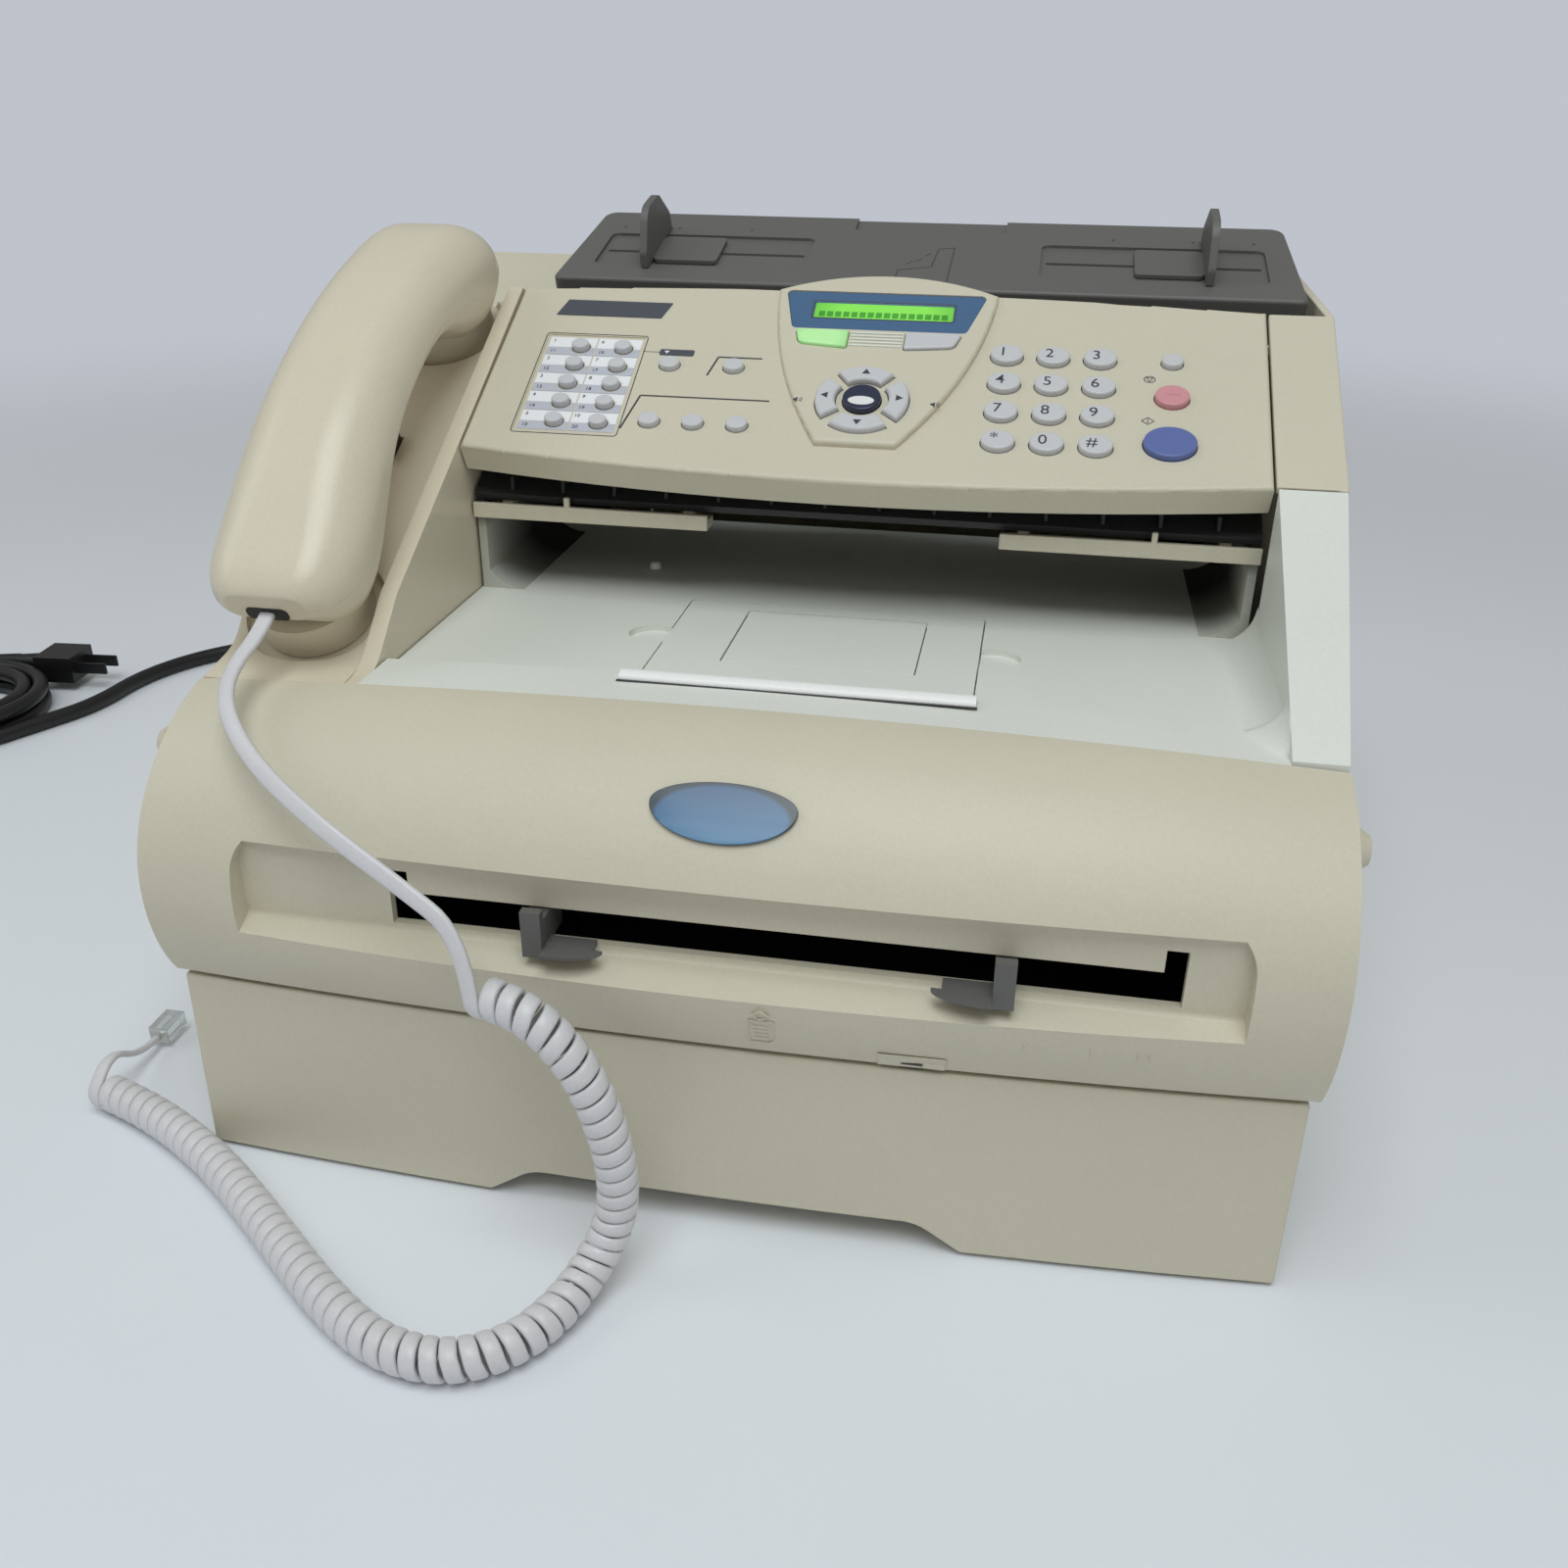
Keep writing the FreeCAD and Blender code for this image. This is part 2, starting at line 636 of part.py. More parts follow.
def document_chute():
    """Lower document guide: sloping plate on two cheeks, with the panel's hinge ears."""
    body = new_body("document_chute")
    n = d.chute_n
    plate = [
        on_slope(CHUTE_FRONT, n),
        on_slope(CHUTE_BACK, n),
        on_slope(CHUTE_BACK, n - d.wall),
        on_slope(CHUTE_FRONT, n - d.wall),
    ]
    x0, x1 = "dims.recess_left + 0.8", "dims.recess_right - 0.8"
    bar_x(body, plate, x0, x1)
    low = on_slope(CHUTE_FRONT, n - 1.0)
    high = on_slope(CHUTE_BACK, n - 1.0)
    cheek = [
        (low[0], d.tray_z + 0.05),
        (high[0], d.tray_z + 0.05),
        high,
        low,
    ]
    bar_x(body, cheek, x0, x0 + " + dims.wall")
    bar_x(body, cheek, x1 + " - dims.wall", x1)
    corner = 16.0
    bulge = corner * (1.0 - math.sqrt(0.5))
    for side, x in ((1, d.recess_left + 0.8), (-1, d.recess_right - 0.8)):
        z = d.tray_z + 0.05
        web = [
            Part.LineSegment(Vector(x, z, 0), Vector(x + side * corner, z, 0)),
            Part.Arc(Vector(x + side * corner, z, 0),
                     Vector(x + side * bulge, z + bulge, 0),
                     Vector(x, z + corner, 0)),
            Part.LineSegment(Vector(x, z + corner, 0), Vector(x, z, 0)),
        ]
        bar_y(body, web, str(low[0]), str(high[0]))
    for row in range(14):
        x = d.panel_left + 14.0 + row * (d.panel_right - d.panel_left - 28.0) / 13.0
        rib = [
            on_slope(CHUTE_FRONT + 2.0, n - 0.5),
            on_slope(CHUTE_FRONT + 36.0, n - 0.5),
            on_slope(CHUTE_FRONT + 36.0, n + 2.0),
            on_slope(CHUTE_FRONT + 5.0, n + 4.0),
        ]
        bar_x(body, rib, "%.3f - 0.6" % x, "%.3f + 0.6" % x)
    ear = [
        on_slope(PIVOT_V - 6.0, n - 1.0),
        on_slope(PIVOT_V + 5.0, n - 1.0),
        on_slope(PIVOT_V + 4.0, PIVOT_N + 4.0) + (3.5,),
        on_slope(PIVOT_V - 4.0, PIVOT_N + 4.0) + (3.5,),
    ]
    inner = "dims.panel_left + dims.wall + 0.6"
    outer = "dims.panel_right - dims.wall - 0.6"
    bar_x(body, ear, inner, inner + " + 4")
    bar_x(body, ear, outer + " - 4", outer)
    pivot = on_slope(PIVOT_V, PIVOT_N)
    pin_x(body, pivot, PIVOT_R, "dims.panel_left + 0.2", inner + " + 2")
    pin_x(body, pivot, PIVOT_R, outer + " - 2", "dims.panel_right - 0.2")
    return body


EXIT = {"length": 84.0, "nib": 32.0, "deep": 10.0, "high": 5.5}


def document_exit_supports():
    """Two bars under the scanner's front edge that carry the documents as they come out."""
    front, top = on_slope(CHUTE_FRONT, d.chute_n)
    front, top = front - 2.5, top - 3.0
    bottom = top - EXIT["high"]
    clear = 0.8 + d.wall + d.fit
    bars = []
    for side, wall in ((1, d.recess_left), (-1, d.recess_right)):
        ends = sorted((wall + side * 0.5, wall + side * (clear + EXIT["length"])))
        inner = sorted((wall + side * clear, wall + side * (clear + EXIT["length"])))
        lip = Part.makeBox(ends[1] - ends[0], 2.0, EXIT["high"], Vector(ends[0], front, bottom))
        corner = Vector(inner[0], front, bottom)
        arm = Part.makeBox(inner[1] - inner[0], EXIT["deep"], EXIT["high"] - 2.0, corner)
        nib_x = wall + side * (clear + EXIT["nib"])
        nib = Part.makeBox(2.0, 2.0, EXIT["high"] + 3.5, Vector(nib_x - 1.0, front, bottom))
        under = d.chute_n - d.wall
        post_y = (front + 5.0, front + EXIT["deep"])
        post = outline([
            (post_y[0], top - 3.0),
            (post_y[1], top - 3.0),
            (post_y[1], slope_z_at(post_y[1], under)),
            (post_y[0], slope_z_at(post_y[0], under)),
        ])
        posts = [prism(post, "x", x - 2.0, x + 2.0) for x in (inner[0] + 8.0, inner[1] - 8.0)]
        bars.append(lip.fuse([arm, nib] + posts).removeSplitter())
    return solid_feature("document_exit_supports", Part.makeCompound(bars))


def image_sensor():
    """Contact image sensor: glass-topped bar across the document path."""
    body = new_body("image_sensor", SLOPE_FRAME)
    x0, x1 = d.panel_left + 22.0, d.panel_right - 15.8
    v0, v1 = d.panel_front + 39.0, d.panel_front + 57.0
    bar = rectangle(x0, v0, x1, v1, 1.0)
    bar_z(body, bar, "dims.chute_n", "dims.chute_n + 9")
    glass = rectangle(x0 + 4.0, v0 + 4.0, x1 - 4.0, v1 - 4.0, 0.5)
    bar_z(body, glass, "dims.chute_n + 8.5", "dims.chute_n + 9.6")
    return body


# Control panel and keys


# The spots below are drawn for a panel between these ends, and stretch with the panel
PLAN_X, PLAN_V = (-121.0, 156.8), (109.0, 199.0)


def stretched(value, plan, low, high):
    """Place between low and high of a value drawn between the ends of a plan."""
    return low + (value - plan[0]) * (high - low) / (plan[1] - plan[0])


def across(x):
    return stretched(x, PLAN_X, d.panel_left, d.panel_right)


def along(v):
    return stretched(v, PLAN_V, d.panel_front, d.panel_back)


NAV = (across(18.5), along(138.7))
NAV_OUTER, NAV_INNER, NAV_SPREAD = 16.4, 9.4, 37.0
PLAIN_KEYS = []
for index, digit in enumerate(("1", "2", "3", "4", "5", "6", "7", "8", "9", "star", "0", "hash")):
    spot_x, spot_v = 66.6 + 16.3 * (index % 3), 168.2 - 14.9 * (index // 3)
    PLAIN_KEYS.append(("key_" + digit, across(spot_x), along(spot_v), 5.7, 4.7))
PLAIN_KEYS += [
    ("menu_key", NAV[0], NAV[1], 6.7, 6.7),
    ("report_key", across(124.0), along(168.2), 3.7, 3.2),
    ("stop_key", across(124.0), along(149.7), 5.8, 5.2),
    ("start_key", across(123.5), along(126.4), 8.8, 7.4),
]
ONE_TOUCH = [(across(x), along(164.4 - 10.15 * row), 3.2, 2.7) for x in (-90.0, -73.7) for row in range(5)]
FUNCTION = [(across(x), along(v), 3.8, 3.2) for x, v in (
    (-54.4, 156.1), (-30.6, 156.2), (-55.5, 125.6), (-39.7, 125.6), (-23.9, 125.6))]


def planned(points):
    """Outline points of the key plan, each with its corner radius, on the real panel."""
    return [(across(x), along(v), radius) for x, v, radius in points]


MODE_KEYS = {
    "fax_mode_key": planned([
        (-10.5, 175.9, 1.0), (-8.6, 168.5, 3.0), (9.0, 166.6, 0.8), (9.0, 175.9, 0.8)]),
    "copy_mode_key": planned([
        (29.8, 175.9, 0.8), (29.8, 166.6, 0.8), (47.5, 168.5, 3.0), (50.0, 175.9, 1.0)]),
}


def grown(points, gap):
    """Outline points moved outwards from their middle by about the gap on each side."""
    mid_u = (min(p[0] for p in points) + max(p[0] for p in points)) / 2
    mid_v = (min(p[1] for p in points) + max(p[1] for p in points)) / 2
    return [
        (p[0] + math.copysign(gap, p[0] - mid_u), p[1] + math.copysign(gap, p[1] - mid_v), p[2] + gap)
        for p in points
    ]


def panel_outline(inset):
    """Plan of the panel: front edge bowed forward, back edge bowed back."""
    x0, x1 = d.panel_left + inset, d.panel_right - inset
    v0, v1 = d.panel_front + inset, d.panel_back - inset
    mid = (x0 + x1) / 2
    return [
        Part.Arc(Vector(x0, v0, 0), Vector(mid, v0 - d.panel_bow, 0), Vector(x1, v0, 0)),
        Part.LineSegment(Vector(x1, v0, 0), Vector(x1, v1, 0)),
        Part.Arc(Vector(x1, v1, 0), Vector(mid, v1 + d.panel_arch, 0), Vector(x0, v1, 0)),
        Part.LineSegment(Vector(x0, v1, 0), Vector(x0, v0, 0)),
    ]


def shield_outline():
    """Raised shield round the display and the arrow keys."""
    top = d.panel_back + 1.0
    left, right = across(-20.5), across(61.5)
    waist = along(160.0)
    foot = NAV[1] - 21.0
    return [
        Part.Arc(Vector(left, top, 0), Vector(NAV[0] + 2.0, top + 10.0, 0), Vector(right, top, 0)),
        Part.Arc(Vector(right, top, 0), Vector(across(53.5), waist, 0), Vector(NAV[0] + 14.0, foot, 0)),
        Part.LineSegment(Vector(NAV[0] + 14.0, foot, 0), Vector(NAV[0] - 14.0, foot, 0)),
        Part.Arc(Vector(NAV[0] - 14.0, foot, 0), Vector(across(-13.5), waist, 0), Vector(left, top, 0)),
    ]


LCD = planned([(-17.4, 199.0, 2.0), (-12.2, 177.4, 2.0), (51.2, 177.4, 2.0), (57.6, 199.0, 2.0)])


def panel_cover():
    """Control panel lid on two pins at the back, open below, with a hole for each key."""
    body = new_body("panel_cover", SLOPE_FRAME)
    plate = bar_z(body, panel_outline(0.0), "-dims.panel_deep", "0")
    round_top(body, plate, 0.0, 1.6)
    inside = panel_outline(d.wall)
    bar_z(body, inside, "-dims.panel_deep - 1", "-dims.panel_plate", cut=True)
    back = rectangle(d.panel_left + d.wall, d.panel_back - 9.0, d.panel_right - d.wall, d.panel_back + 20.0)
    bar_z(body, back, "-dims.panel_deep - 1", "-dims.panel_plate", cut=True)
    shield = bar_z(body, shield_outline(), "-dims.panel_plate", "dims.shield_high")
    round_top(body, shield, d.shield_high, 1.5)
    through0, through1 = "-dims.panel_deep - 1", "dims.shield_high + 5"
    for _, x, v, half_u, half_v in PLAIN_KEYS:
        hole = oval(x, v, half_u + d.key_gap, half_v + d.key_gap)
        bar_z(body, hole, through0, through1, cut=True)
    for x, v, half_u, half_v in ONE_TOUCH + FUNCTION:
        bar_z(body, oval(x, v, half_u + d.key_gap, half_v + d.key_gap), through0, through1, cut=True)
    for middle in (0.0, 90.0, 180.0, 270.0):
        hole = ring_sector(NAV[0], NAV[1], NAV_INNER - d.key_gap, NAV_OUTER + d.key_gap, middle,
                           NAV_SPREAD + 1.6)
        bar_z(body, hole, through0, through1, cut=True)
    for points in MODE_KEYS.values():
        bar_z(body, outline(grown(points, d.key_gap)), through0, through1, cut=True)
    bar_z(body, outline(grown(LCD, 0.15)), "dims.shield_high - 1.6", through1, cut=True)
    card = rectangle(across(-104.0), along(117.8), across(-66.2), along(171.2), 1.0)
    bar_z(body, card, "-0.5", through1, cut=True)
    for start, stop in (
        ("dims.panel_left - 1", "dims.panel_left + dims.wall + 1"),
        ("dims.panel_right - dims.wall - 1", "dims.panel_right + 1"),
    ):
        bore = [Part.Circle(Vector(PIVOT_V, PIVOT_N, 0), Vector(0, 0, 1), PIVOT_R + d.pin_gap)]
        pad(body, "YZ_Plane", bore, start, stop, cut=True)
    return body


def lcd_window():
    """Display plate set in the shield, with a sunk window."""
    body = new_body("lcd_window", SLOPE_FRAME)
    plate = bar_z(body, outline(LCD), "dims.shield_high - 1.6", "dims.shield_high - 0.4")
    window = rectangle(across(-5.6), along(184.4), across(45.8), along(193.2), 0.6)
    bar_z(body, window, "dims.shield_high - 0.9", "dims.shield_high + 1", cut=True)
    return body


def key_solid(body, edges, skirt, high, finish=round_top):
    """Cap through the panel with a wider skirt under the plate."""
    top = "dims.key_high + (%s)" % high
    cap = bar_z(body, edges, "-dims.panel_plate - dims.key_stem + 2", top)
    finish(body, cap, d.key_high + high, 0.7)
    bottom = "-dims.panel_plate - dims.key_stem"
    bar_z(body, skirt, bottom, "-dims.panel_plate - 0.4")
    return body


def keys():
    """Keys of the panel, each a body of its own that travels square to the slope."""
    for label, x, v, half_u, half_v in PLAIN_KEYS:
        body = new_body(label, SLOPE_FRAME)
        skirt = oval(x, v, half_u + d.key_skirt, half_v + d.key_skirt)
        key_solid(body, oval(x, v, half_u, half_v), skirt, d.shield_high if label == "menu_key" else 0.0)
    for label, middle in (("right", 0.0), ("up", 90.0), ("left", 180.0), ("down", 270.0)):
        body = new_body("arrow_key_" + label, SLOPE_FRAME)
        cap = ring_sector(NAV[0], NAV[1], NAV_INNER, NAV_OUTER, middle, NAV_SPREAD)
        skirt = ring_sector(NAV[0], NAV[1], NAV_INNER - 0.7, NAV_OUTER + 0.9, middle, NAV_SPREAD + 3.0)
        key_solid(body, cap, skirt, d.shield_high, bevel_top)
    for label, points in MODE_KEYS.items():
        body = new_body(label, SLOPE_FRAME)
        key_solid(body, outline(points), outline(grown(points, 0.9)), d.shield_high - 1.0)


def key_group(label, spots):
    """Small round-topped keys that share one node."""
    group = []
    bottom = -d.panel_plate - d.key_stem
    for x, v, half_u, half_v in spots:
        solids = []
        for grow, low, high in ((0.0, bottom + 2.0, d.key_high), (0.9, bottom, -d.panel_plate - 0.4)):
            ring = Part.Wire([Part.Ellipse(Vector(x, v, low), half_u + grow, half_v + grow).toShape()])
            solids.append(Part.Face(ring).extrude(Vector(0, 0, high - low)))
        cap = solids[0].makeFillet(0.7, [edge for edge in solids[0].Edges
                                         if edge.BoundBox.ZMin > d.key_high - 0.01])
        group.append(cap.fuse(solids[1]))
    return solid_feature(label, Part.makeCompound(group), SLOPE_FRAME)


# Document tray


def document_tray():
    """Document tray at the back: shell open below, with a shallow bed for each guide."""
    body = new_body("document_tray", DOC_FRAME)
    half, deep = d.doc_half, d.doc_length
    plan = outline([
        (d.scan_x - half, 0.0, 3.0),
        (d.scan_x + half, 0.0, 3.0),
        (d.scan_x + half - 4.0, deep, 6.0),
        (d.scan_x - half + 4.0, deep, 6.0),
    ])
    plate = bar_z(body, plan, "-dims.doc_deep", "0")
    round_top(body, plate, 0.0, 1.5)
    inside = rectangle(d.scan_x - half + 7.0, d.wall, d.scan_x + half - 7.0, deep - d.wall, 3.0)
    bar_z(body, inside, "-dims.doc_deep - 1", "-4.5", cut=True)
    for side in (-1, 1):
        x0 = d.scan_x + side * (d.scan_half - 62.0)
        x1 = d.scan_x + side * (half - 13.0)
        bed = rectangle(min(x0, x1), 14.0, max(x0, x1), 46.0, 3.0)
        bar_z(body, bed, "-1.2", "5", cut=True)
    notch = rectangle(d.scan_x - 31.0, deep - 14.0, d.scan_x + 31.0, deep + 5.0, 2.0)
    bar_z(body, notch, "-1.5", "5", cut=True)
    return body


def document_guide(label, side):
    """Width guide: flat foot in the bed and an upright fin at its outer end."""
    body = new_body(label, DOC_FRAME)
    inner = d.scan_half - 26.0
    x0, x1 = sorted((d.scan_x + side * inner, d.scan_x + side * d.scan_half))
    bar_z(body, rectangle(x0, 18.0, x1, 42.0, 2.0), "-1", "0.8")
    fin = [
        (10.0, 0.4),
        (52.0, 0.4),
        (50.0, 8.0, 4.0),
        (36.0, 20.0, 7.0),
        (18.0, 21.0, 9.0),
        (10.0, 6.0, 4.0),
    ]
    edge = d.scan_x + side * d.scan_half
    start = edge if side > 0 else edge - 3.0
    bar_x(body, fin, "%.3f" % start, "%.3f" % (start + 3.0))
    web = sorted((edge - side * 2.0, edge + side * 1.5))
    bar_z(body, rectangle(web[0], 20.0, web[1], 40.0), "-1", "0.8")
    return body


# Output flap


FLAP_AXIS = (d.flap_front + 2.0, d.tray_z - d.flap_thick / 2)


def output_flap():
    """Paper stop folded flat in the tray, hinged at its front edge."""
    body = new_body("output_flap")
    thick = "dims.tray_z - dims.flap_thick"
    plan = rectangle(d.flap_left, d.flap_front + 0.5, d.flap_right, d.flap_back, 2.0)
    bar_z(body, plan, thick, "dims.tray_z")
    bed = rectangle(EXT["x0"] - 0.5, EXT["y0"] - 0.5, EXT["x1"] + 0.5, EXT["y1"] + 0.8, 1.0)
    bar_z(body, bed, "dims.tray_z - dims.flap_thick - 1", "dims.tray_z + 1", cut=True)
    for end in (d.flap_left, d.flap_right):
        pin_x(body, FLAP_AXIS, d.flap_pin, end - 2.2, end + 2.2)
    for end in (EXT["x0"], EXT["x1"]):
        pin_x(body, LEAF_AXIS, d.leaf_pin + d.pin_gap, end - 2.0, end + 2.0, cut=True)
    return body


EXT = {"x0": d.paper_x - 34.0, "x1": d.paper_x + 30.0, "y0": d.flap_front + 24.0, "y1": d.flap_back - 7.0}
LEAF_AXIS = (EXT["y1"] - 1.2, d.tray_z - 1.4)


def output_flap_extension():
    """Inner leaf of the paper stop, hinged at its back edge."""
    body = new_body("output_flap_extension")
    plan = rectangle(EXT["x0"], EXT["y0"], EXT["x1"], EXT["y1"], 1.2)
    bar_z(body, plan, "dims.tray_z - dims.flap_thick + 0.4", "dims.tray_z - 0.2")
    for end in (EXT["x0"], EXT["x1"]):
        pin_x(body, LEAF_AXIS, d.leaf_pin, end - 1.8, end + 1.8)
    return body


# Front cover


HINGE_X = (-60.0, 60.0)
HINGE_Y = -d.front_reach + 9.5
HINGE_Z = d.cassette_top + 4.7
HINGE_PIN = 1.4
RECESS = {
    "x0": 31.0 - d.front_half,
    "x1": d.front_half - 25.0,
    "y": 11.0 - d.front_reach,
    "z0": d.cassette_top + 28.2,
    "z1": d.cassette_top + 54.2,
}
SLOT = {
    "x0": RECESS["x0"] + 47.0,
    "x1": RECESS["x1"] - 17.0,
    "z0": RECESS["z0"] + 2.0,
    "z1": RECESS["z0"] + 13.0,
}


def skin_points(x, inset):
    """Side-view curve of the front cover at x: flatter and lower towards its ends."""
    share = (x / d.front_half) ** 2
    back = d.front_bow * share
    low = d.cassette_top + d.front_gap
    crest = front_seam_z(x)
    reach = d.front_reach
    return [
        Vector(x, -reach + 8.0 + back + inset, low),
        Vector(x, -reach + back + inset, low + 21.5),
        Vector(x, -reach + 1.6 + back + inset, low + 46.0 - inset * 0.3),
        Vector(x, -reach + 18.5 + back * 0.8 + inset * 0.55, crest - 15.0 - inset * 0.8),
        Vector(x, d.slope_y - 0.6 + inset * 0.1, crest - inset),
    ]


def skin_wire(x, inset, extra):
    """Closed section: the skin's curve, then back to the bottom behind it."""
    points = skin_points(x, inset)
    curve = Part.BSplineCurve()
    curve.interpolate(points)
    first, last = points[0], points[-1]
    behind = d.slope_y - 0.6 + extra
    low = first.z - extra
    loop = [last, Vector(x, behind, last.z), Vector(x, behind, low), Vector(x, first.y, low), first]
    edges = [curve.toShape()]
    for start, stop in zip(loop, loop[1:]):
        if (stop - start).Length > 1e-6:
            edges.append(Part.LineSegment(start, stop).toShape())
    return Part.Wire(edges)


def prism(edges, plane, start, stop):
    """Solid from a flat outline, swept along X or Y."""
    face = Part.Face(Part.Wire([edge.toShape() for edge in edges]))
    if plane == "x":
        face.Placement = Placement(Vector(start, 0, 0), Rotation(Vector(1, 1, 1), 120))
        return face.extrude(Vector(stop - start, 0, 0))
    face.Placement = Placement(Vector(0, start, 0), Rotation(Vector(1, 0, 0), 90))
    return face.extrude(Vector(0, stop - start, 0))


def front_cover():
    """Bowed front door: thin skin, sunk pan of the manual slot, side tabs, hinge knuckles."""
    half = d.front_half
    outer = Part.makeLoft([skin_wire(x, 0.0, 0.0) for x in (-half, 0.0, half)], True)
    edge = half - d.wall
    inner = Part.makeLoft([skin_wire(x, d.wall, 12.0) for x in (-edge, 0.0, edge)], True)
    shell = outer.cut(inner)
    rim = d.wall
    pan = Part.makeBox(
        RECESS["x1"] - RECESS["x0"] + 2 * rim, 60.0, RECESS["z1"] - RECESS["z0"] + 12.0,
        Vector(RECESS["x0"] - rim, RECESS["y"] + rim - 60.0, RECESS["z0"] - 9.0))
    shell = shell.fuse(pan.common(outer))
    side_view = outline([
        (RECESS["y"], RECESS["z0"], 2.0),
        (RECESS["y"], RECESS["z1"], 2.0),
        (RECESS["y"] - 30.0, RECESS["z1"] + 4.0),
        (RECESS["y"] - 30.0, RECESS["z0"] - 12.0),
    ])
    front_view = rectangle(RECESS["x0"], RECESS["z0"] - 14.0, RECESS["x1"], RECESS["z1"] + 5.0, 14.0)
    dish = prism(side_view, "x", RECESS["x0"] - 20.0, RECESS["x1"] + 20.0)
    dish = dish.common(prism(front_view, "y", RECESS["y"] - 40.0, RECESS["y"] + 10.0))
    slot_points = [
        (SLOT["x0"], SLOT["z0"]),
        (SLOT["x1"], SLOT["z0"]),
        (SLOT["x1"], SLOT["z1"] + 7.0),
        (SLOT["x1"] - 6.0, SLOT["z1"] + 7.0),
        (SLOT["x1"] - 6.0, SLOT["z1"]),
        (SLOT["x0"] + 6.0, SLOT["z1"]),
        (SLOT["x0"] + 6.0, SLOT["z1"] + 7.0),
        (SLOT["x0"], SLOT["z1"] + 7.0),
    ]
    slot = prism(outline(slot_points), "y", RECESS["y"] - 4.0, RECESS["y"] + rim + 4.0)
    shell = shell.cut([dish, slot])
    extras = []
    for x in HINGE_X:
        for start in (x - 9.4, x + 3.4):
            knuckle = Part.makeCylinder(3.0, 6.0, Vector(start, HINGE_Y, HINGE_Z), Vector(1, 0, 0))
            web = Part.makeBox(6.0, 6.0, 3.0, Vector(start, HINGE_Y - 6.0, HINGE_Z))
            bore = Part.makeCylinder(HINGE_PIN + d.pin_gap, 8.0, Vector(start - 1, HINGE_Y, HINGE_Z),
                                     Vector(1, 0, 0))
            extras.append(knuckle.fuse(web.common(outer)).cut(bore))
    for side in (-1, 1):
        place = Vector(side * half, d.slope_y - 20.0, d.slope_z - 15.5)
        tab = Part.makeCone(6.5, 4.2, 3.4, place, Vector(side, 0, 0))
        extras.append(tab)
    bores = [Part.makeCylinder(HINGE_PIN + d.pin_gap, 20.0, Vector(x - 10, HINGE_Y, HINGE_Z), Vector(1, 0, 0))
             for x in HINGE_X]
    gaps = [Part.makeBox(6.8, 9.0, 7.0, Vector(x - 3.4, HINGE_Y - 3.2, HINGE_Z - 3.5)) for x in HINGE_X]
    whole = shell.fuse(extras).cut(bores + gaps).removeSplitter()
    return solid_feature("front_cover", whole.Solids[0] if len(whole.Solids) == 1 else whole)


BADGE = {"x": 3.0, "z": d.slope_z - 14.0, "half": 21.0, "above": 7.2, "below": 10.8}


def front_badge():
    """Bare domed badge on the front cover: flatter above its tips than below them."""
    half = d.front_half
    skin = Part.makeLoft([skin_wire(x, 0.0, 0.0) for x in (-half, 0.0, half)], True)
    proud = Part.makeLoft([skin_wire(x, -1.6, 0.0) for x in (-half, 0.0, half)], True)
    middle = Vector(0, (BADGE["below"] - BADGE["above"]) / 2, 0)
    upper = Part.ArcOfEllipse(Part.Ellipse(middle, BADGE["half"], BADGE["above"]), 0.0, math.pi)
    lower = Part.ArcOfEllipse(Part.Ellipse(middle, BADGE["half"], BADGE["below"]), math.pi, 2 * math.pi)
    plug = Part.Face(Part.Wire([upper.toShape(), lower.toShape()])).extrude(Vector(0, 0, 60.0))
    start = Vector(BADGE["x"], 27.0 - d.front_reach, BADGE["z"] - 8.0)
    plug.Placement = Placement(start, Rotation(Vector(1, 0, 0), 45))
    dome = proud.cut(skin).common(plug)
    return solid_feature("front_badge", dome)


def manual_guide(label, side):
    """Width guide of the manual slot: upright plate, body in the slot and a low tongue."""
    inner = d.paper_x + side * d.manual_half
    x0 = inner if side > 0 else inner - 6.0
    y0 = RECESS["y"] - 8.5
    base = SLOT["z0"] + d.fit
    plate = Part.makeBox(6.0, 3.0, 15.0, Vector(x0, y0, base - 1.5))
    stem = Part.makeBox(6.0, 16.0, SLOT["z1"] - SLOT["z0"] - 1.0, Vector(x0, y0 + 2.5, base))
    tongue_x = x0 + (-14.0 if side > 0 else 2.0)
    tongue = Part.makeBox(18.0, 5.5, 1.6, Vector(tongue_x, y0 + 2.8, base))
    whole = plate.fuse([stem, tongue]).removeSplitter()
    return solid_feature(label, whole)


# Paper cassette


def cassette_wire(x, inset):
    share = (x / d.front_half) ** 2
    back = d.front_bow * share
    reach = d.front_reach - 8.0
    low, high = d.foot_height - 0.5, d.cassette_top
    points = [
        Vector(x, -reach - 2.4 + back, low),
        Vector(x, -reach + back, high),
        Vector(x, -reach + back + inset, high),
        Vector(x, -reach - 2.4 + back + inset, low),
    ]
    return Part.makePolygon(points + points[:1])


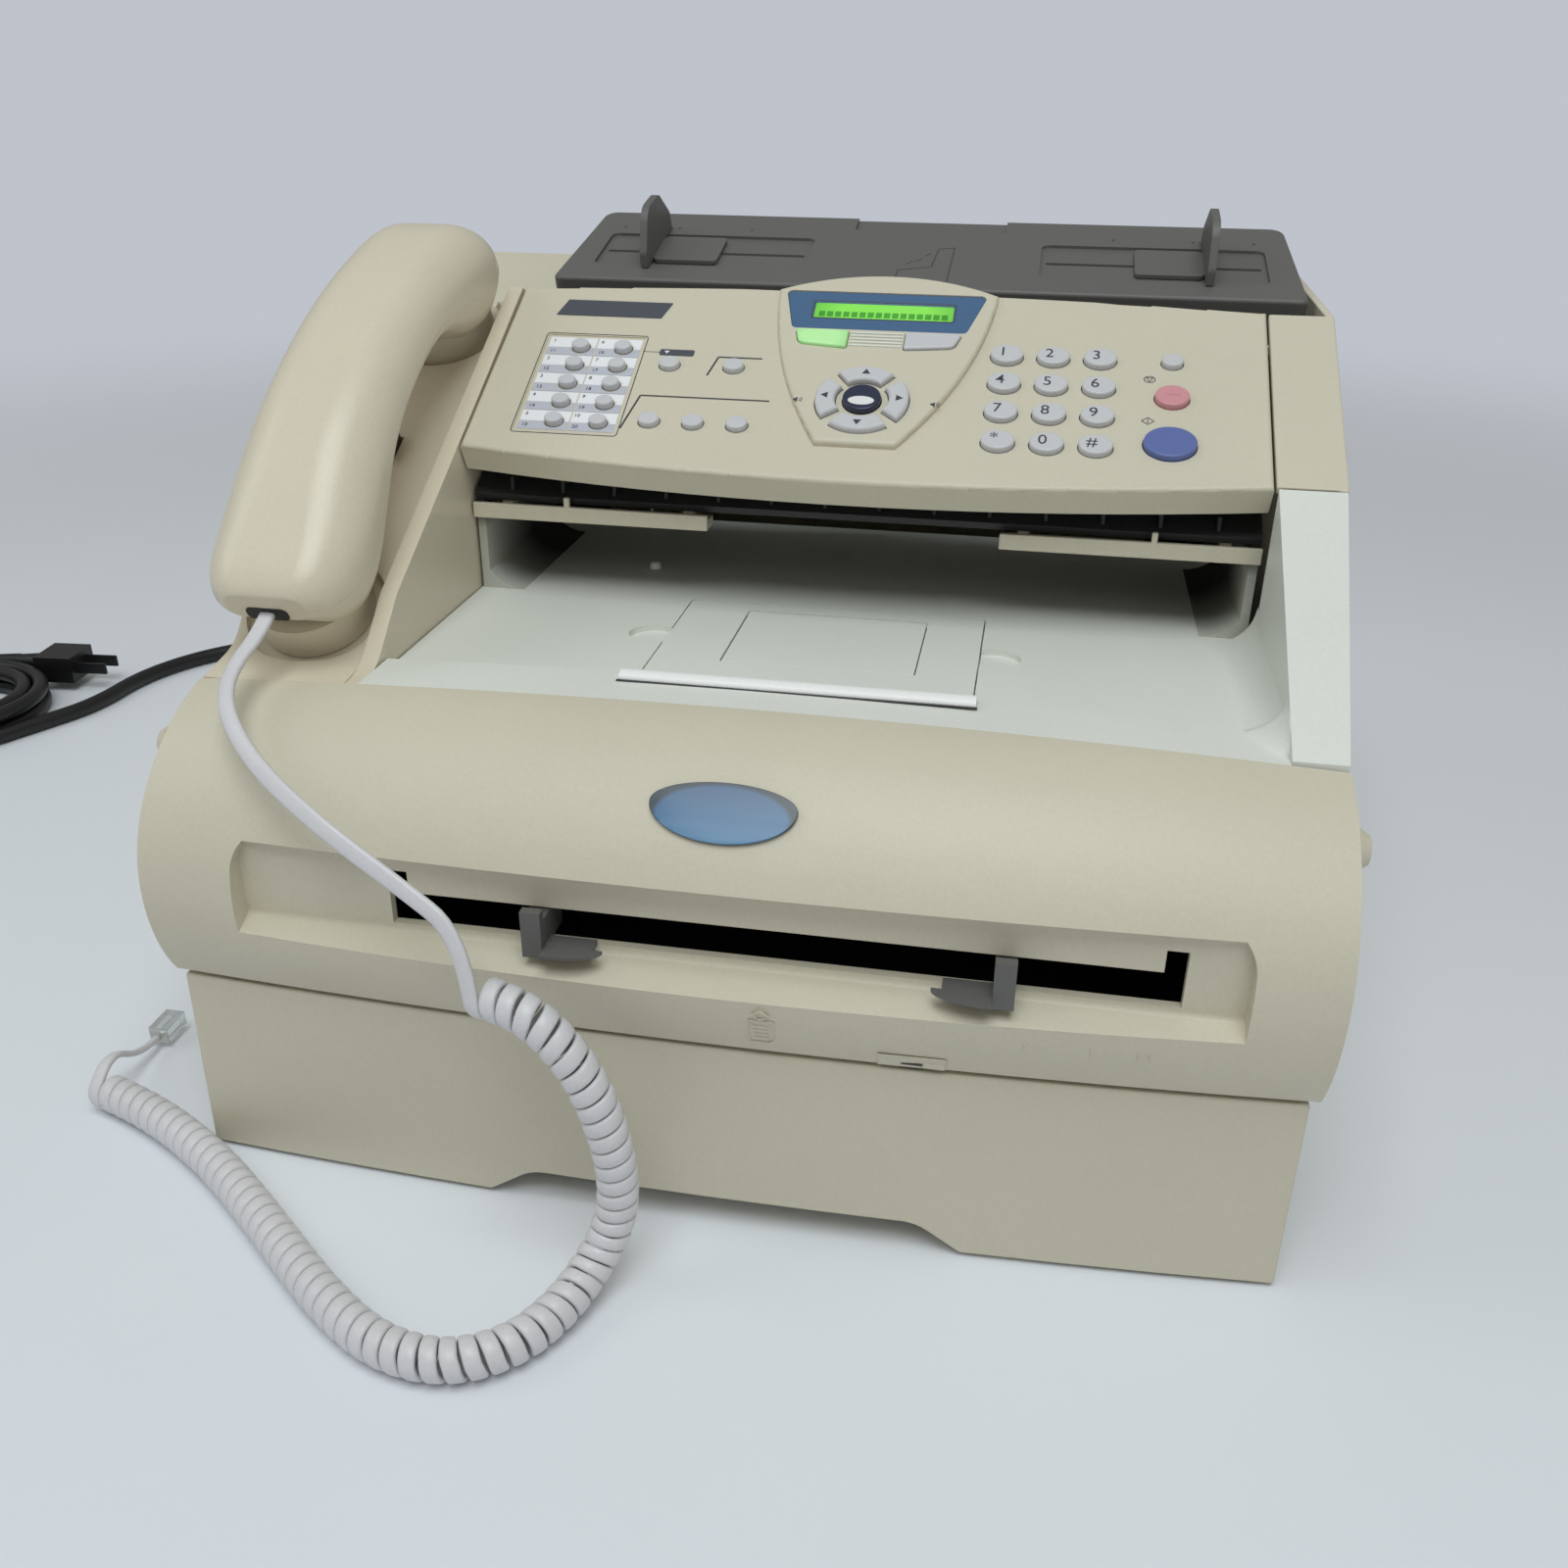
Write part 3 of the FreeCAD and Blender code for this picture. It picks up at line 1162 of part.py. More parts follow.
def paper_cassette():
    """Paper drawer: bowed full-width front with a raised grip, and an open box behind it."""
    half = d.front_half - 2.5
    front = Part.makeLoft([cassette_wire(x, 4.5) for x in (-half, 0.0, half)], True)
    low = d.foot_height - 0.5
    grip = outline([
        (-72.0, low - 5.0),
        (-72.0, low),
        (-58.0, low + 9.5, 14.0),
        (64.0, low + 9.5, 14.0),
        (78.0, low),
        (78.0, low - 5.0),
    ])
    front = front.cut(prism(grip, "y", -d.front_reach - 33.0, d.slope_y + 11.0))
    width = d.cassette_half
    y0 = -d.front_reach + 13.0
    z0 = d.foot_height + 2.0 + d.fit
    box = Part.makeBox(2 * width, d.cassette_depth, d.cassette_height, Vector(-width, y0, z0))
    hollow = Part.makeBox(2 * (width - d.wall), d.cassette_depth - d.wall - 4.0, d.cassette_height,
                          Vector(-width + d.wall, y0 + 4.0, z0 + d.wall))
    tie = Part.makeBox(2 * width, 8.0, d.cassette_height, Vector(-width, y0 - 6.0, z0))
    span = Part.makeLoft([cassette_wire(x, 30.0) for x in (-half, 0.0, half)], True)
    returns = []
    for side in (-half, half - d.wall):
        high = d.cassette_top - low
        wing = Part.makeBox(d.wall, 60.0, high, Vector(side, d.slope_y - 1.5 - 60.0, low))
        returns.append(wing.common(Part.makeLoft([cassette_wire(x, 60.0) for x in (-half, 0.0, half)], True)))
    whole = front.fuse([box.cut(hollow), tie.common(span)] + returns)
    whole = whole.cut(prism(grip, "y", -d.front_reach - 33.0, 15.0 - d.front_reach)).removeSplitter()
    return solid_feature("paper_cassette", whole)


# Print engine


ENGINE_HALF = d.side_frame - 30.0
DRUM = {
    "y": -20.0,
    "z": d.deck_z + d.deck_thick + 21.0,
    "radius": 12.0,
    "length": 2 * ENGINE_HALF - 28.0,
    "shaft": 3.0,
}


def imaging_unit():
    """Drum and toner unit: one long housing that carries the drum on its end walls."""
    body = new_body("imaging_unit")
    low = d.deck_z + d.deck_thick
    front, back = d.deck_front + 46.0, DRUM["y"] + 26.0
    high = d.tray_z - d.tray_thick - 17.0
    section = [
        (front, low),
        (back, low),
        (back, high - 12.0, 8.0),
        (front + 52.0, high, 12.0),
        (front, high - 12.0, 14.0),
    ]
    bar_x(body, section, d.paper_x - ENGINE_HALF, d.paper_x + ENGINE_HALF)
    axis = (DRUM["y"], DRUM["z"])
    half = DRUM["length"] / 2 + 1.0
    pin_x(body, axis, DRUM["radius"] + 1.0, d.paper_x - half, d.paper_x + half, cut=True)
    end = ENGINE_HALF + 5.0
    pin_x(body, axis, DRUM["shaft"] + d.pin_gap, d.paper_x - end, d.paper_x + end, cut=True)
    return body


def photoconductor_drum():
    """Drum on its shaft, with a drive gear blank at one end."""
    body = new_body("photoconductor_drum")
    axis = (DRUM["y"], DRUM["z"])
    half, end = DRUM["length"] / 2, ENGINE_HALF + 4.0
    pin_x(body, axis, DRUM["radius"], d.paper_x - half, d.paper_x + half)
    pin_x(body, axis, DRUM["shaft"], d.paper_x - end, d.paper_x + end)
    pin_x(body, axis, DRUM["radius"] - 1.0, d.paper_x + end - 3.0, d.paper_x + end + 4.0)
    return body


def fuser_unit():
    """Fuser housing behind the drum, ahead of the rear door."""
    body = new_body("fuser_unit")
    low = d.deck_z + d.deck_thick
    front, back = d.rear_y - 99.0, d.rear_y - 37.0
    high = d.tray_z - d.tray_thick - 21.0
    section = [
        (front, low),
        (back, low),
        (back, high - 12.0, 10.0),
        (front, high, 10.0),
    ]
    bar_x(body, section, d.paper_x - ENGINE_HALF + 2.0, d.paper_x + ENGINE_HALF - 2.0)
    return body


# Handset


# v, lowest n, seam n, highest n and half width of the handset at stations along the slope,
# drawn for a mouthpiece and an earpiece at the places in HANDSET_PLAN
HANDSET_PLAN = (36.0, 182.0)
STATIONS = (
    (14.0, 12.0, 16.0, 21.0, 13.0),
    (20.0, 5.0, 14.0, 26.0, 20.5),
    (36.0, -6.0, 13.0, 31.0, 25.0),
    (54.0, 2.0, 17.0, 37.0, 25.0),
    (80.0, 20.0, 25.0, 43.0, 23.5),
    (112.0, 25.0, 29.0, 45.5, 22.5),
    (144.0, 20.0, 26.0, 43.5, 23.0),
    (166.0, 0.0, 18.0, 40.0, 24.0),
    (184.0, -6.0, 14.0, 35.0, 24.5),
    (198.0, 4.0, 12.0, 26.0, 21.5),
)


def handset_wire(station, upper):
    """Half section of the handset: flat at the seam, rounded away from it."""
    v, low, seam, high, half = station
    v = stretched(v, HANDSET_PLAN, MOUTH_V, EAR_V)
    far = high if upper else low
    deep = abs(far - seam)
    radius = min(deep * 0.92, half * 0.75)
    points = [
        (-half, seam),
        (half, seam),
        (half * 0.96, far, radius),
        (-half * 0.96, far, radius),
    ]
    edges = []
    for edge in outline(points):
        edges.append(edge.toShape())
    wire = Part.Wire(Part.__sortEdges__(edges))
    wire.Placement = Placement(Vector(d.handset_x, v, 0), Rotation(Vector(1, 0, 0), 90))
    return wire


def handset():
    """Handset as two shells that meet at a seam: back shell outside, ear and mouth inside."""
    for label, upper in (("handset_cover", True), ("handset_body", False)):
        wires = [handset_wire(station, upper) for station in STATIONS]
        shape = Part.makeLoft(wires, True, False)
        if not upper:
            plugs = []
            for v in (EAR_V, MOUTH_V):
                low = Vector(d.handset_x, v, CRADLE_DECK - 3.6)
                plugs.append(Part.makeCylinder(CUP_RADIUS - 3.0, 12.0, low))
            shape = shape.fuse(plugs).removeSplitter()
        solid_feature(label, shape, SLOPE_FRAME)


# Cords


def rounded_path(points, name):
    """Straight runs joined by tangent arcs, each as large as its runs allow."""
    edges, radii = [], []
    start = points[0]
    for before, corner, after in zip(points, points[1:], points[2:]):
        into = (corner - before)
        out = (after - corner)
        turn = into.getAngle(out)
        reach = 0.45 * min(into.Length, out.Length)
        radii.append(reach / math.tan(turn / 2))
        into.normalize()
        out.normalize()
        first, last = corner - into * reach, corner + out * reach
        bisector = (out - into).normalize()
        centre = corner + bisector * (radii[-1] / math.cos(turn / 2))
        edges.append(Part.LineSegment(start, first).toShape())
        edges.append(Part.Arc(first, centre - bisector * radii[-1], last).toShape())
        start = last
    edges.append(Part.LineSegment(start, points[-1]).toShape())
    wire = Part.Wire(edges)
    print("%s: length %.0f, least radius %.1f" % (name, wire.Length, min(radii)))
    return wire


def tube(points, diameter, name):
    """Round tube along a route."""
    wire = rounded_path(points, name)
    way = points[1] - points[0]
    section = Part.Wire([Part.Circle(points[0], way, diameter / 2).toShape()])
    solid = wire.makePipeShell([section], True, False)
    ideal = math.pi * diameter ** 2 / 4 * wire.Length
    assert abs(solid.Volume / ideal - 1) < 0.01, name
    return solid


def arc_from(start, tangent, stop):
    """Arc that leaves start along the tangent and ends at stop."""
    chord = stop - start
    unit = Vector(chord).normalize()
    angle = tangent.getAngle(unit)
    if angle < 1e-4:
        return Part.LineSegment(start, stop).toShape()
    way = (Vector(tangent) + unit).normalize()
    return Part.Arc(start, start + way * (chord.Length / (2 * math.cos(angle / 2))), stop).toShape()


def biarc(start, t0, stop, t1):
    """Two arcs that join two points and their tangents."""
    v = stop - start
    a = 2 * (1 - t0.dot(t1))
    b = 2 * v.dot(t0 + t1)
    c = -v.dot(v)
    reach = -c / b if abs(a) < 1e-9 else (-b + math.sqrt(b * b - 4 * a * c)) / (2 * a)
    joint = (start + t0 * reach + stop - t1 * reach) * 0.5
    first = arc_from(start, t0, joint)
    back = arc_from(stop, t1 * -1, joint)
    return [first, back]


def wound_wire(curve, steps, end_length):
    """Biarcs through points of a winding curve, with a short straight run at each end."""
    points, tangents = [], []
    small = 1e-4
    for i in range(steps + 1):
        s = i / steps
        a, b = max(s - small, 0.0), min(s + small, 1.0)
        points.append(curve(s))
        tangents.append((curve(b) - curve(a)).normalize())
    edges = [Part.LineSegment(points[0] - tangents[0] * end_length, points[0]).toShape()]
    for i in range(steps):
        edges += biarc(points[i], tangents[i], points[i + 1], tangents[i + 1])
    edges.append(Part.LineSegment(points[-1], points[-1] + tangents[-1] * end_length).toShape())
    return Part.Wire(Part.__sortEdges__(edges)), points, tangents


def least_gap(points, skip, thick):
    """Least distance between points that are more than skip apart along the list."""
    best = 1e9
    for i, point in enumerate(points):
        for other in points[i + skip:i + 4 * skip]:
            best = min(best, (other - point).Length)
    return best - thick


CURL_ROUTE = [Vector(*p) for p in (
    (-60, -199, 91), (-50, -202, 91.5), (-39, -204.5, 86), (-29, -206, 73.5), (-23, -206.5, 56),
    (-20.5, -206, 38), (-22, -206.5, 22), (-27, -213, 10.5), (-33, -229, 6.8), (-42, -244, 6.8),
    (-58, -253, 6.8), (-79, -250.5, 6.8), (-100, -238, 6.8), (-120, -222.5, 6.8), (-140, -206.5, 6.8),
    (-161, -191, 6.8), (-184, -177.5, 6.8), (-206, -168, 6.8), (-218, -164.5, 6.8),
)]
LEAD_ROUTE = [Vector(*p) for p in (
    (-153, -144, 163), (-151, -156, 158.5), (-143, -168, 153), (-127, -181, 145),
    (-104, -191, 134), (-81, -195.5, 121),
)]
CURL_PHASE = 165.0
PLUG_AT = Vector(-219, -131, 5.2)


def handset_cord():
    """Flat lead from the handset, curled middle on the table, short tail and its plug."""
    axis = rounded_path(CURL_ROUTE, "curl axis")
    count = int(d.curl_turns * 12)
    spine = axis.discretize(Number=count + 1)
    frames = []
    side = Vector(0, 0, 1).cross(spine[1] - spine[0]).normalize()
    for i, point in enumerate(spine):
        way = (spine[min(i + 1, count)] - spine[max(i - 1, 0)]).normalize()
        side = (side - way * side.dot(way)).normalize()
        frames.append((point, side, way.cross(side)))
    radius = (d.curl_outer - d.curl_wire) / 2

    def helix(s):
        place = min(s * count, count - 1e-9)
        i = int(place)
        part = place - i
        turn = math.radians(CURL_PHASE) + 2 * math.pi * d.curl_turns * s
        ends = []
        for point, u, w in (frames[i], frames[i + 1]):
            ends.append(point + u * (radius * math.cos(turn)) + w * (radius * math.sin(turn)))
        return ends[0] * (1 - part) + ends[1] * part

    steps = int(d.curl_turns * 2)
    wire, points, tangents = wound_wire(helix, steps, d.curl_wire)
    samples = [helix(i / (steps * 12)) for i in range(steps * 12 + 1)]
    gap = least_gap(samples, 14, d.curl_wire)
    print("curl: %d turns, least gap to itself %.2f" % (d.curl_turns, gap))
    start = points[0] - tangents[0] * d.curl_wire
    half = d.curl_wire / 2
    across = tangents[0].cross(Vector(0, 0, 1)).normalize()
    up = tangents[0].cross(across)
    corners = [start + across * (half * a) + up * (half * b) for a, b in ((1, 1), (-1, 1), (-1, -1), (1, -1))]
    section = Part.makePolygon(corners + corners[:1])
    curl = wire.makePipeShell([section], True, False)
    solid_feature("handset_cord_curl", curl)
    tip = STATIONS[0]
    out = on_slope(tip[0], (tip[1] + tip[2]) / 2)
    away = on_slope(tip[0] - 9.0, (tip[1] + tip[2]) / 2)
    lead = [Vector(d.handset_x, *out), Vector(d.handset_x, *away)] + LEAD_ROUTE
    lead.append(start - tangents[0] * 18.0)
    lead.append(start)
    stop = points[-1] + tangents[-1] * d.curl_wire
    plug_end = PLUG_AT
    tail = [stop, stop + tangents[-1] * 9.0, plug_end - Vector(0, 12, 0), plug_end]
    print("curl from", tuple(round(c, 1) for c in start), "to", tuple(round(c, 1) for c in stop))
    upper = tube(lead, d.lead_width, "handset lead")
    lower = tube(tail, d.curl_wire, "handset tail")
    solid_feature("handset_cord_lead", Part.makeCompound([upper, lower]))
    way = (tail[-1] - tail[-2]).normalize()
    plug_box = Part.makeBox(7.6, 6.4, 12.0, Vector(-3.8, -3.2, 0))
    latch = Part.makeBox(3.2, 1.4, 10.0, Vector(-1.6, 3.2, 2.0))
    plug = plug_box.fuse(latch).removeSplitter()
    solid_feature("handset_plug", plug, Placement(plug_end, Rotation(Vector(0, 0, 1), way)))


MAINS_ROUTE = [Vector(*p) for p in (
    (0, 0, 0), (0, 26, 0), (-18, 52, -8), (-54, 68, -22), (-98, 72, -34), (-142, 65, -40),
    (-186, 52, -41.7), (-226, 34, -41.7), (-258, 6, -41.7), (-276, -32, -41.7), (-286, -72, -41.7),
    (-296, -112, -41.7),
)]


def mains_lead():
    """Tapered strain relief, black lead to the left, its tied coil and the plug."""
    exit_point = Vector(d.relief_x, d.rear_y, d.relief_z)
    thick, thin = d.mains_dia * 0.85, d.mains_dia * 0.58
    relief = Part.makeCone(thick, thin, d.relief_length, exit_point, Vector(0, 1, 0))
    start = exit_point + Vector(0, d.relief_length, 0)
    solid_feature("power_strain_relief", relief)
    lift = Vector(0, 0, d.mains_dia / 2 + 0.3 - (d.relief_z - 41.7))
    route = []
    for point in MAINS_ROUTE:
        share = min(max(-point.z / 41.7, 0.0), 1.0)
        route.append(start + point + lift * share)
    step = d.mains_dia + 0.8
    turns = d.coil_turns
    layer = turns / 2
    outer = d.coil_mid / 2 + step * layer / 2
    last, before = route[-1], route[-2]
    heading = (last - before).normalize()
    centre = last + Vector(heading.y, -heading.x, 0).normalize() * outer
    centre.z = d.mains_dia / 2 + 0.3
    first = math.atan2(last.y - centre.y, last.x - centre.x)

    def coil(s):
        turn = turns * s
        climb = min(max((turn - (layer - 0.25)) / 0.5, 0.0), 1.0)
        ease = climb * climb * (3 - 2 * climb)
        away = math.hypot(turn - layer, 0.1)
        radius = outer - step * (layer - away)
        angle = first - 2 * math.pi * turn
        return centre + Vector(radius * math.cos(angle), radius * math.sin(angle), step * ease)

    steps = int(turns * 4)
    wire, points, tangents = wound_wire(coil, steps, d.mains_dia)
    samples = [coil(i / (steps * 20)) for i in range(steps * 20 + 1)]
    best = 1e9
    for i, point in enumerate(samples):
        for other in samples[i + 40:]:
            best = min(best, (other - point).Length)
    gap = best - d.mains_dia
    print("coil: %.1f turns, length %.0f, least gap to itself %.2f" % (turns, wire.Length, gap))
    begin = points[0] - tangents[0] * d.mains_dia
    route[-2:] = [begin - tangents[0] * 34.0, begin]
    section = Part.Wire([Part.Circle(begin, tangents[0], d.mains_dia / 2).toShape()])
    solid_feature("power_cord_coil", wire.makePipeShell([section], True, False))
    solid_feature("power_cord", tube(route, d.mains_dia, "mains lead"))
    stop = points[-1] + tangents[-1] * d.mains_dia
    way = tangents[-1]
    grip = Part.makeCone(d.mains_dia * 0.52, d.mains_dia * 0.7, 16.0, Vector(0, 0, 0), Vector(0, 0, 1))
    block = Part.makeBox(24.0, 15.0, 22.0, Vector(-12.0, -7.5, 16.0))
    blades = [Part.makeBox(1.6, 6.3, 17.5, Vector(x - 0.8, -3.15, 38.0)) for x in (-6.35, 6.35)]
    plug = grip.fuse([block] + blades).removeSplitter()
    ahead, up = Vector(way.x, way.y, 0), Vector(0, 0, 1)
    level = Rotation(up.cross(ahead), up, ahead, "ZYX")
    solid_feature("power_plug", plug, Placement(stop, level))


def build():
    base_frame()
    rubber_feet()
    side_cover("side_cover_left", -1)
    side_cover("side_cover_right", 1)
    rear_cover()
    rear_door()
    top_cover()
    handset_cradle()
    hook_switch()
    document_chute()
    document_exit_supports()
    image_sensor()
    panel_cover()
    lcd_window()
    keys()
    key_group("one_touch_keys", ONE_TOUCH)
    key_group("function_keys", FUNCTION)
    document_tray()
    document_guide("document_guide_left", -1)
    document_guide("document_guide_right", 1)
    output_flap()
    output_flap_extension()
    front_cover()
    front_badge()
    manual_guide("manual_guide_left", -1)
    manual_guide("manual_guide_right", 1)
    paper_cassette()
    imaging_unit()
    photoconductor_drum()
    fuser_unit()
    handset()
    handset_cord()
    mains_lead()
    doc.recompute()


def check_and_write():
    """Stop on any failed object, then write one file for each piece."""
    for item in doc.Objects:
        if "Invalid" in item.State or "Error" in item.State:
            raise RuntimeError("%s failed: %s" % (item.Name, item.State))
    for piece in NODES:
        shape = piece.Shape
        if shape.isNull() or not shape.isValid() or not shape.Solids:
            raise RuntimeError("%s has no valid solid" % piece.Label)
    os.makedirs("parts", exist_ok=True)
    for piece in NODES:
        piece.Shape.exportStep("parts/%s.step" % piece.Label)
    print("%d pieces written" % len(NODES))


build()
check_and_write()
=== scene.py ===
# %% [markdown]
# # Dressing a laser fax machine
#
# The frame holds every hard piece of the machine at its real size. This lesson gives those pieces
# their finishes, then adds what is soft, printed or too small for the frame: the cords, the marks
# on the keys, the display and the moulded ticks. The frame is in metres. Most sizes below are in
# millimetres, in the frame's own axes: X to the right, Y to the back, Z up.

# %% Frame
import json
import math
import bmesh
import bpy
from mathutils import Matrix, Vector
from mathutils.bvhtree import BVHTree


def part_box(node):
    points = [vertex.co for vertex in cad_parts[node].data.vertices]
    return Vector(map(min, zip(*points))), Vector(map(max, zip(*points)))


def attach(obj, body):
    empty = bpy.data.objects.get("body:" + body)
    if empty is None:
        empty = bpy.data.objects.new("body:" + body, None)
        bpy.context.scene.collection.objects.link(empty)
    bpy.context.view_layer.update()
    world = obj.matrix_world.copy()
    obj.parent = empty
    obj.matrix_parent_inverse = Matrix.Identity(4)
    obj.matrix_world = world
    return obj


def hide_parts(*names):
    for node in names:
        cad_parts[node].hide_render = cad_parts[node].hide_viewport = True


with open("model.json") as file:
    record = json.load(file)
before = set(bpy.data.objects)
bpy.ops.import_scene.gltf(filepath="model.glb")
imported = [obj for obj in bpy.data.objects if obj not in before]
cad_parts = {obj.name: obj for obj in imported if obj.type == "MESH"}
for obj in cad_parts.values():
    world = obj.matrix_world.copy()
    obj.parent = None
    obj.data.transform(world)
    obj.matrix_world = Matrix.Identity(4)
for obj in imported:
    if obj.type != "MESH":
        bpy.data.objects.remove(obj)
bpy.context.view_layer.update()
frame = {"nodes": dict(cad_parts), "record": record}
nodes = frame["nodes"]
scene = bpy.context.scene
MM = 0.001
TO_METRES = Matrix.Scale(MM, 4)

# %% [markdown]
# ## Objects and meshes
#
# Every new piece goes the same way: an object at the origin, a mesh that holds its place, a finish,
# and the body that it rides on. Modifiers that shape a new piece are applied at once.

# %% Objects and meshes


def place_object(name, data):
    """New object at the origin of the scene."""
    made = bpy.data.objects.new(name, data)
    scene.collection.objects.link(made)
    return made


def finished(name, mesh, finish, body):
    """Object of a mesh with its finish, which rides on a body."""
    mesh.materials.append(finish)
    piece = place_object(name, mesh)
    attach(piece, body)
    return piece


def mesh_piece(name, build, finish, body, matrix=TO_METRES):
    """Piece from a bmesh in millimetres, with its faces turned outwards and then placed."""
    bmesh.ops.recalc_face_normals(build, faces=build.faces[:])
    build.transform(matrix)
    mesh = bpy.data.meshes.new(name)
    build.to_mesh(mesh)
    build.free()
    return finished(name, mesh, finish, body)


def set_all(thing, **values):
    """Sets properties by name."""
    for key, value in values.items():
        setattr(thing, key, value)
    return thing


def modify(piece, name, kind, **values):
    """New modifier with its values."""
    return set_all(piece.modifiers.new(name, kind), **values)


def evaluated(piece):
    """New mesh of an object as its modifiers or its curve make it."""
    return bpy.data.meshes.new_from_object(piece.evaluated_get(bpy.context.evaluated_depsgraph_get()))


def apply_all(piece):
    mesh = evaluated(piece)
    piece.modifiers.clear()
    piece.data = mesh


def cut_out(piece, cutter):
    """Applies a boolean cut, then removes the cutter."""
    modify(piece, "cut", "BOOLEAN", object=cutter, solver="EXACT")
    apply_all(piece)
    bpy.data.objects.remove(cutter)


print("helpers for pieces ready")

# %% [markdown]
# Tubes, heads and corners are skins between loops of points. The other helpers here are for
# directions along a line.

# %% Loops and lines


def skin(build, loops):
    """Faces between each loop of points and the next. Returns them."""
    faces = []
    for a, b in zip(loops, loops[1:]):
        for k in range(len(a)):
            m = (k + 1) % len(a)
            faces.append(build.faces.new((a[k], a[m], b[m], b[k])))
    return faces


def closed_skin(build, loops):
    """Skin with both ends filled. Returns the faces of its sides."""
    sides = skin(build, loops)
    build.faces.new(loops[0][::-1])
    build.faces.new(loops[-1])
    return sides


def axes_matrix(across, rise, out):
    """Turn whose X, Y and Z axes point along three directions."""
    return Matrix((across, rise, out)).transposed().to_4x4()


def clamp(value):
    return min(max(value, 0.0), 1.0)


def way_at(points, i):
    """Direction of a line of points at one of them."""
    return (points[min(i + 1, len(points) - 1)] - points[max(i - 1, 0)]).normalized()


def square_to(way, ray):
    """Direction square to a way that is nearest to a ray."""
    return (ray - way * ray.dot(way)).normalized()


def line_length(points):
    return sum((b - a).length for a, b in zip(points, points[1:]))


print("helpers for loops and lines ready")

# %% [markdown]
# ## Camera
#
# The viewpoint was worked out from straight edges of the machine: a little to the right of its
# middle, looking down. A camera's own axes are right, up and backwards, so those three directions
# make its rotation, and a small roll turns the first two.

# %% Camera
IMAGE_PIXELS, FOCAL_PIXELS = 1600, 1438.832
SENSOR_WIDE, NEAREST = 36.0, 0.01
CAMERA_AT = Vector((79.19, -506.845, 322.603)) * MM
HEADING, TILT, ROLL = (math.radians(a) for a in (-9.915, 26.578, 0.631))

forward = Vector((math.sin(HEADING) * math.cos(TILT), math.cos(HEADING) * math.cos(TILT), -math.sin(TILT)))
sideways = Vector((math.cos(HEADING), -math.sin(HEADING), 0.0))
upward = sideways.cross(forward)
image_right = sideways * math.cos(ROLL) + upward * math.sin(ROLL)
image_up = upward * math.cos(ROLL) - sideways * math.sin(ROLL)

scene.camera = place_object("studio_camera", bpy.data.cameras.new("studio_camera"))
scene.camera.matrix_world = Matrix.Translation(CAMERA_AT) @ axes_matrix(image_right, image_up, -forward)
set_all(scene.camera.data, sensor_width=SENSOR_WIDE, lens=FOCAL_PIXELS / IMAGE_PIXELS * SENSOR_WIDE,
        clip_start=NEAREST)
print("camera lens %.2f mm" % scene.camera.data.lens)

# %% [markdown]
# ## Finishes
#
# Nearly all of the machine is moulded plastic. Two effects repeat: a slow change of tone, as on
# plastic that has aged in the light, and a fine spark-eroded grain. Each is a node group, used in
# every plastic with its own values.

# %% Nodes


def give(node, **values):
    """Sets a node's properties and inputs by name. An input called at_2 is the one of that number."""
    for name, value in values.items():
        if hasattr(node, name):
            setattr(node, name, value)
        else:
            key = int(name[3:]) if name.startswith("at_") else name.replace("_", " ")
            node.inputs[key].default_value = value
    return node


def add(tree, kind, **values):
    """New node of a tree, with its values."""
    return give(tree.nodes.new(kind), **values)


def wire(tree, *links):
    """Links, each given as a node, its output, another node and its input."""
    for source, output, target, into in links:
        tree.links.new(source.outputs[output], target.inputs[into])


def node_group(name, kind, inputs, outputs):
    """Empty group with named sockets. Returns the tree and its two end nodes."""
    tree = bpy.data.node_groups.new(name, kind)
    for way, sockets in (("INPUT", inputs), ("OUTPUT", outputs)):
        for label, value in sockets.items():
            tree.interface.new_socket(name=label, in_out=way, socket_type="NodeSocket" + value)
    return tree, tree.nodes.new("NodeGroupInput"), tree.nodes.new("NodeGroupOutput")


print("helpers for nodes ready")

# %% Shared effects


def make_aged_tone():
    """Colour that drifts a little lighter and darker, with a roughness that follows it."""
    tree, start, end = node_group("aged_tone", "ShaderNodeTree",
                                  {"Color": "Color", "Drift": "Float", "Roughness": "Float"},
                                  {"Color": "Color", "Roughness": "Float"})
    place = add(tree, "ShaderNodeTexCoord")
    slow = add(tree, "ShaderNodeTexNoise", Scale=14.0, Detail=3.0)
    fine = add(tree, "ShaderNodeTexNoise", Scale=900.0, Detail=1.0)
    both = add(tree, "ShaderNodeMath", operation="ADD")
    centred = add(tree, "ShaderNodeMath", operation="SUBTRACT", at_1=1.0)
    amount = add(tree, "ShaderNodeMath", operation="MULTIPLY_ADD", at_2=1.0)
    shade = add(tree, "ShaderNodeVectorMath", operation="SCALE")
    rough = add(tree, "ShaderNodeMath", operation="MULTIPLY")
    wire(tree, (place, "Object", slow, "Vector"), (place, "Object", fine, "Vector"),
         (slow, "Fac", both, 0), (fine, "Fac", both, 1), (both, 0, centred, 0),
         (centred, 0, amount, 0), (start, "Drift", amount, 1),
         (start, "Color", shade, 0), (amount, 0, shade, "Scale"), (shade, 0, end, "Color"),
         (start, "Roughness", rough, 0), (amount, 0, rough, 1), (rough, 0, end, "Roughness"))
    return tree


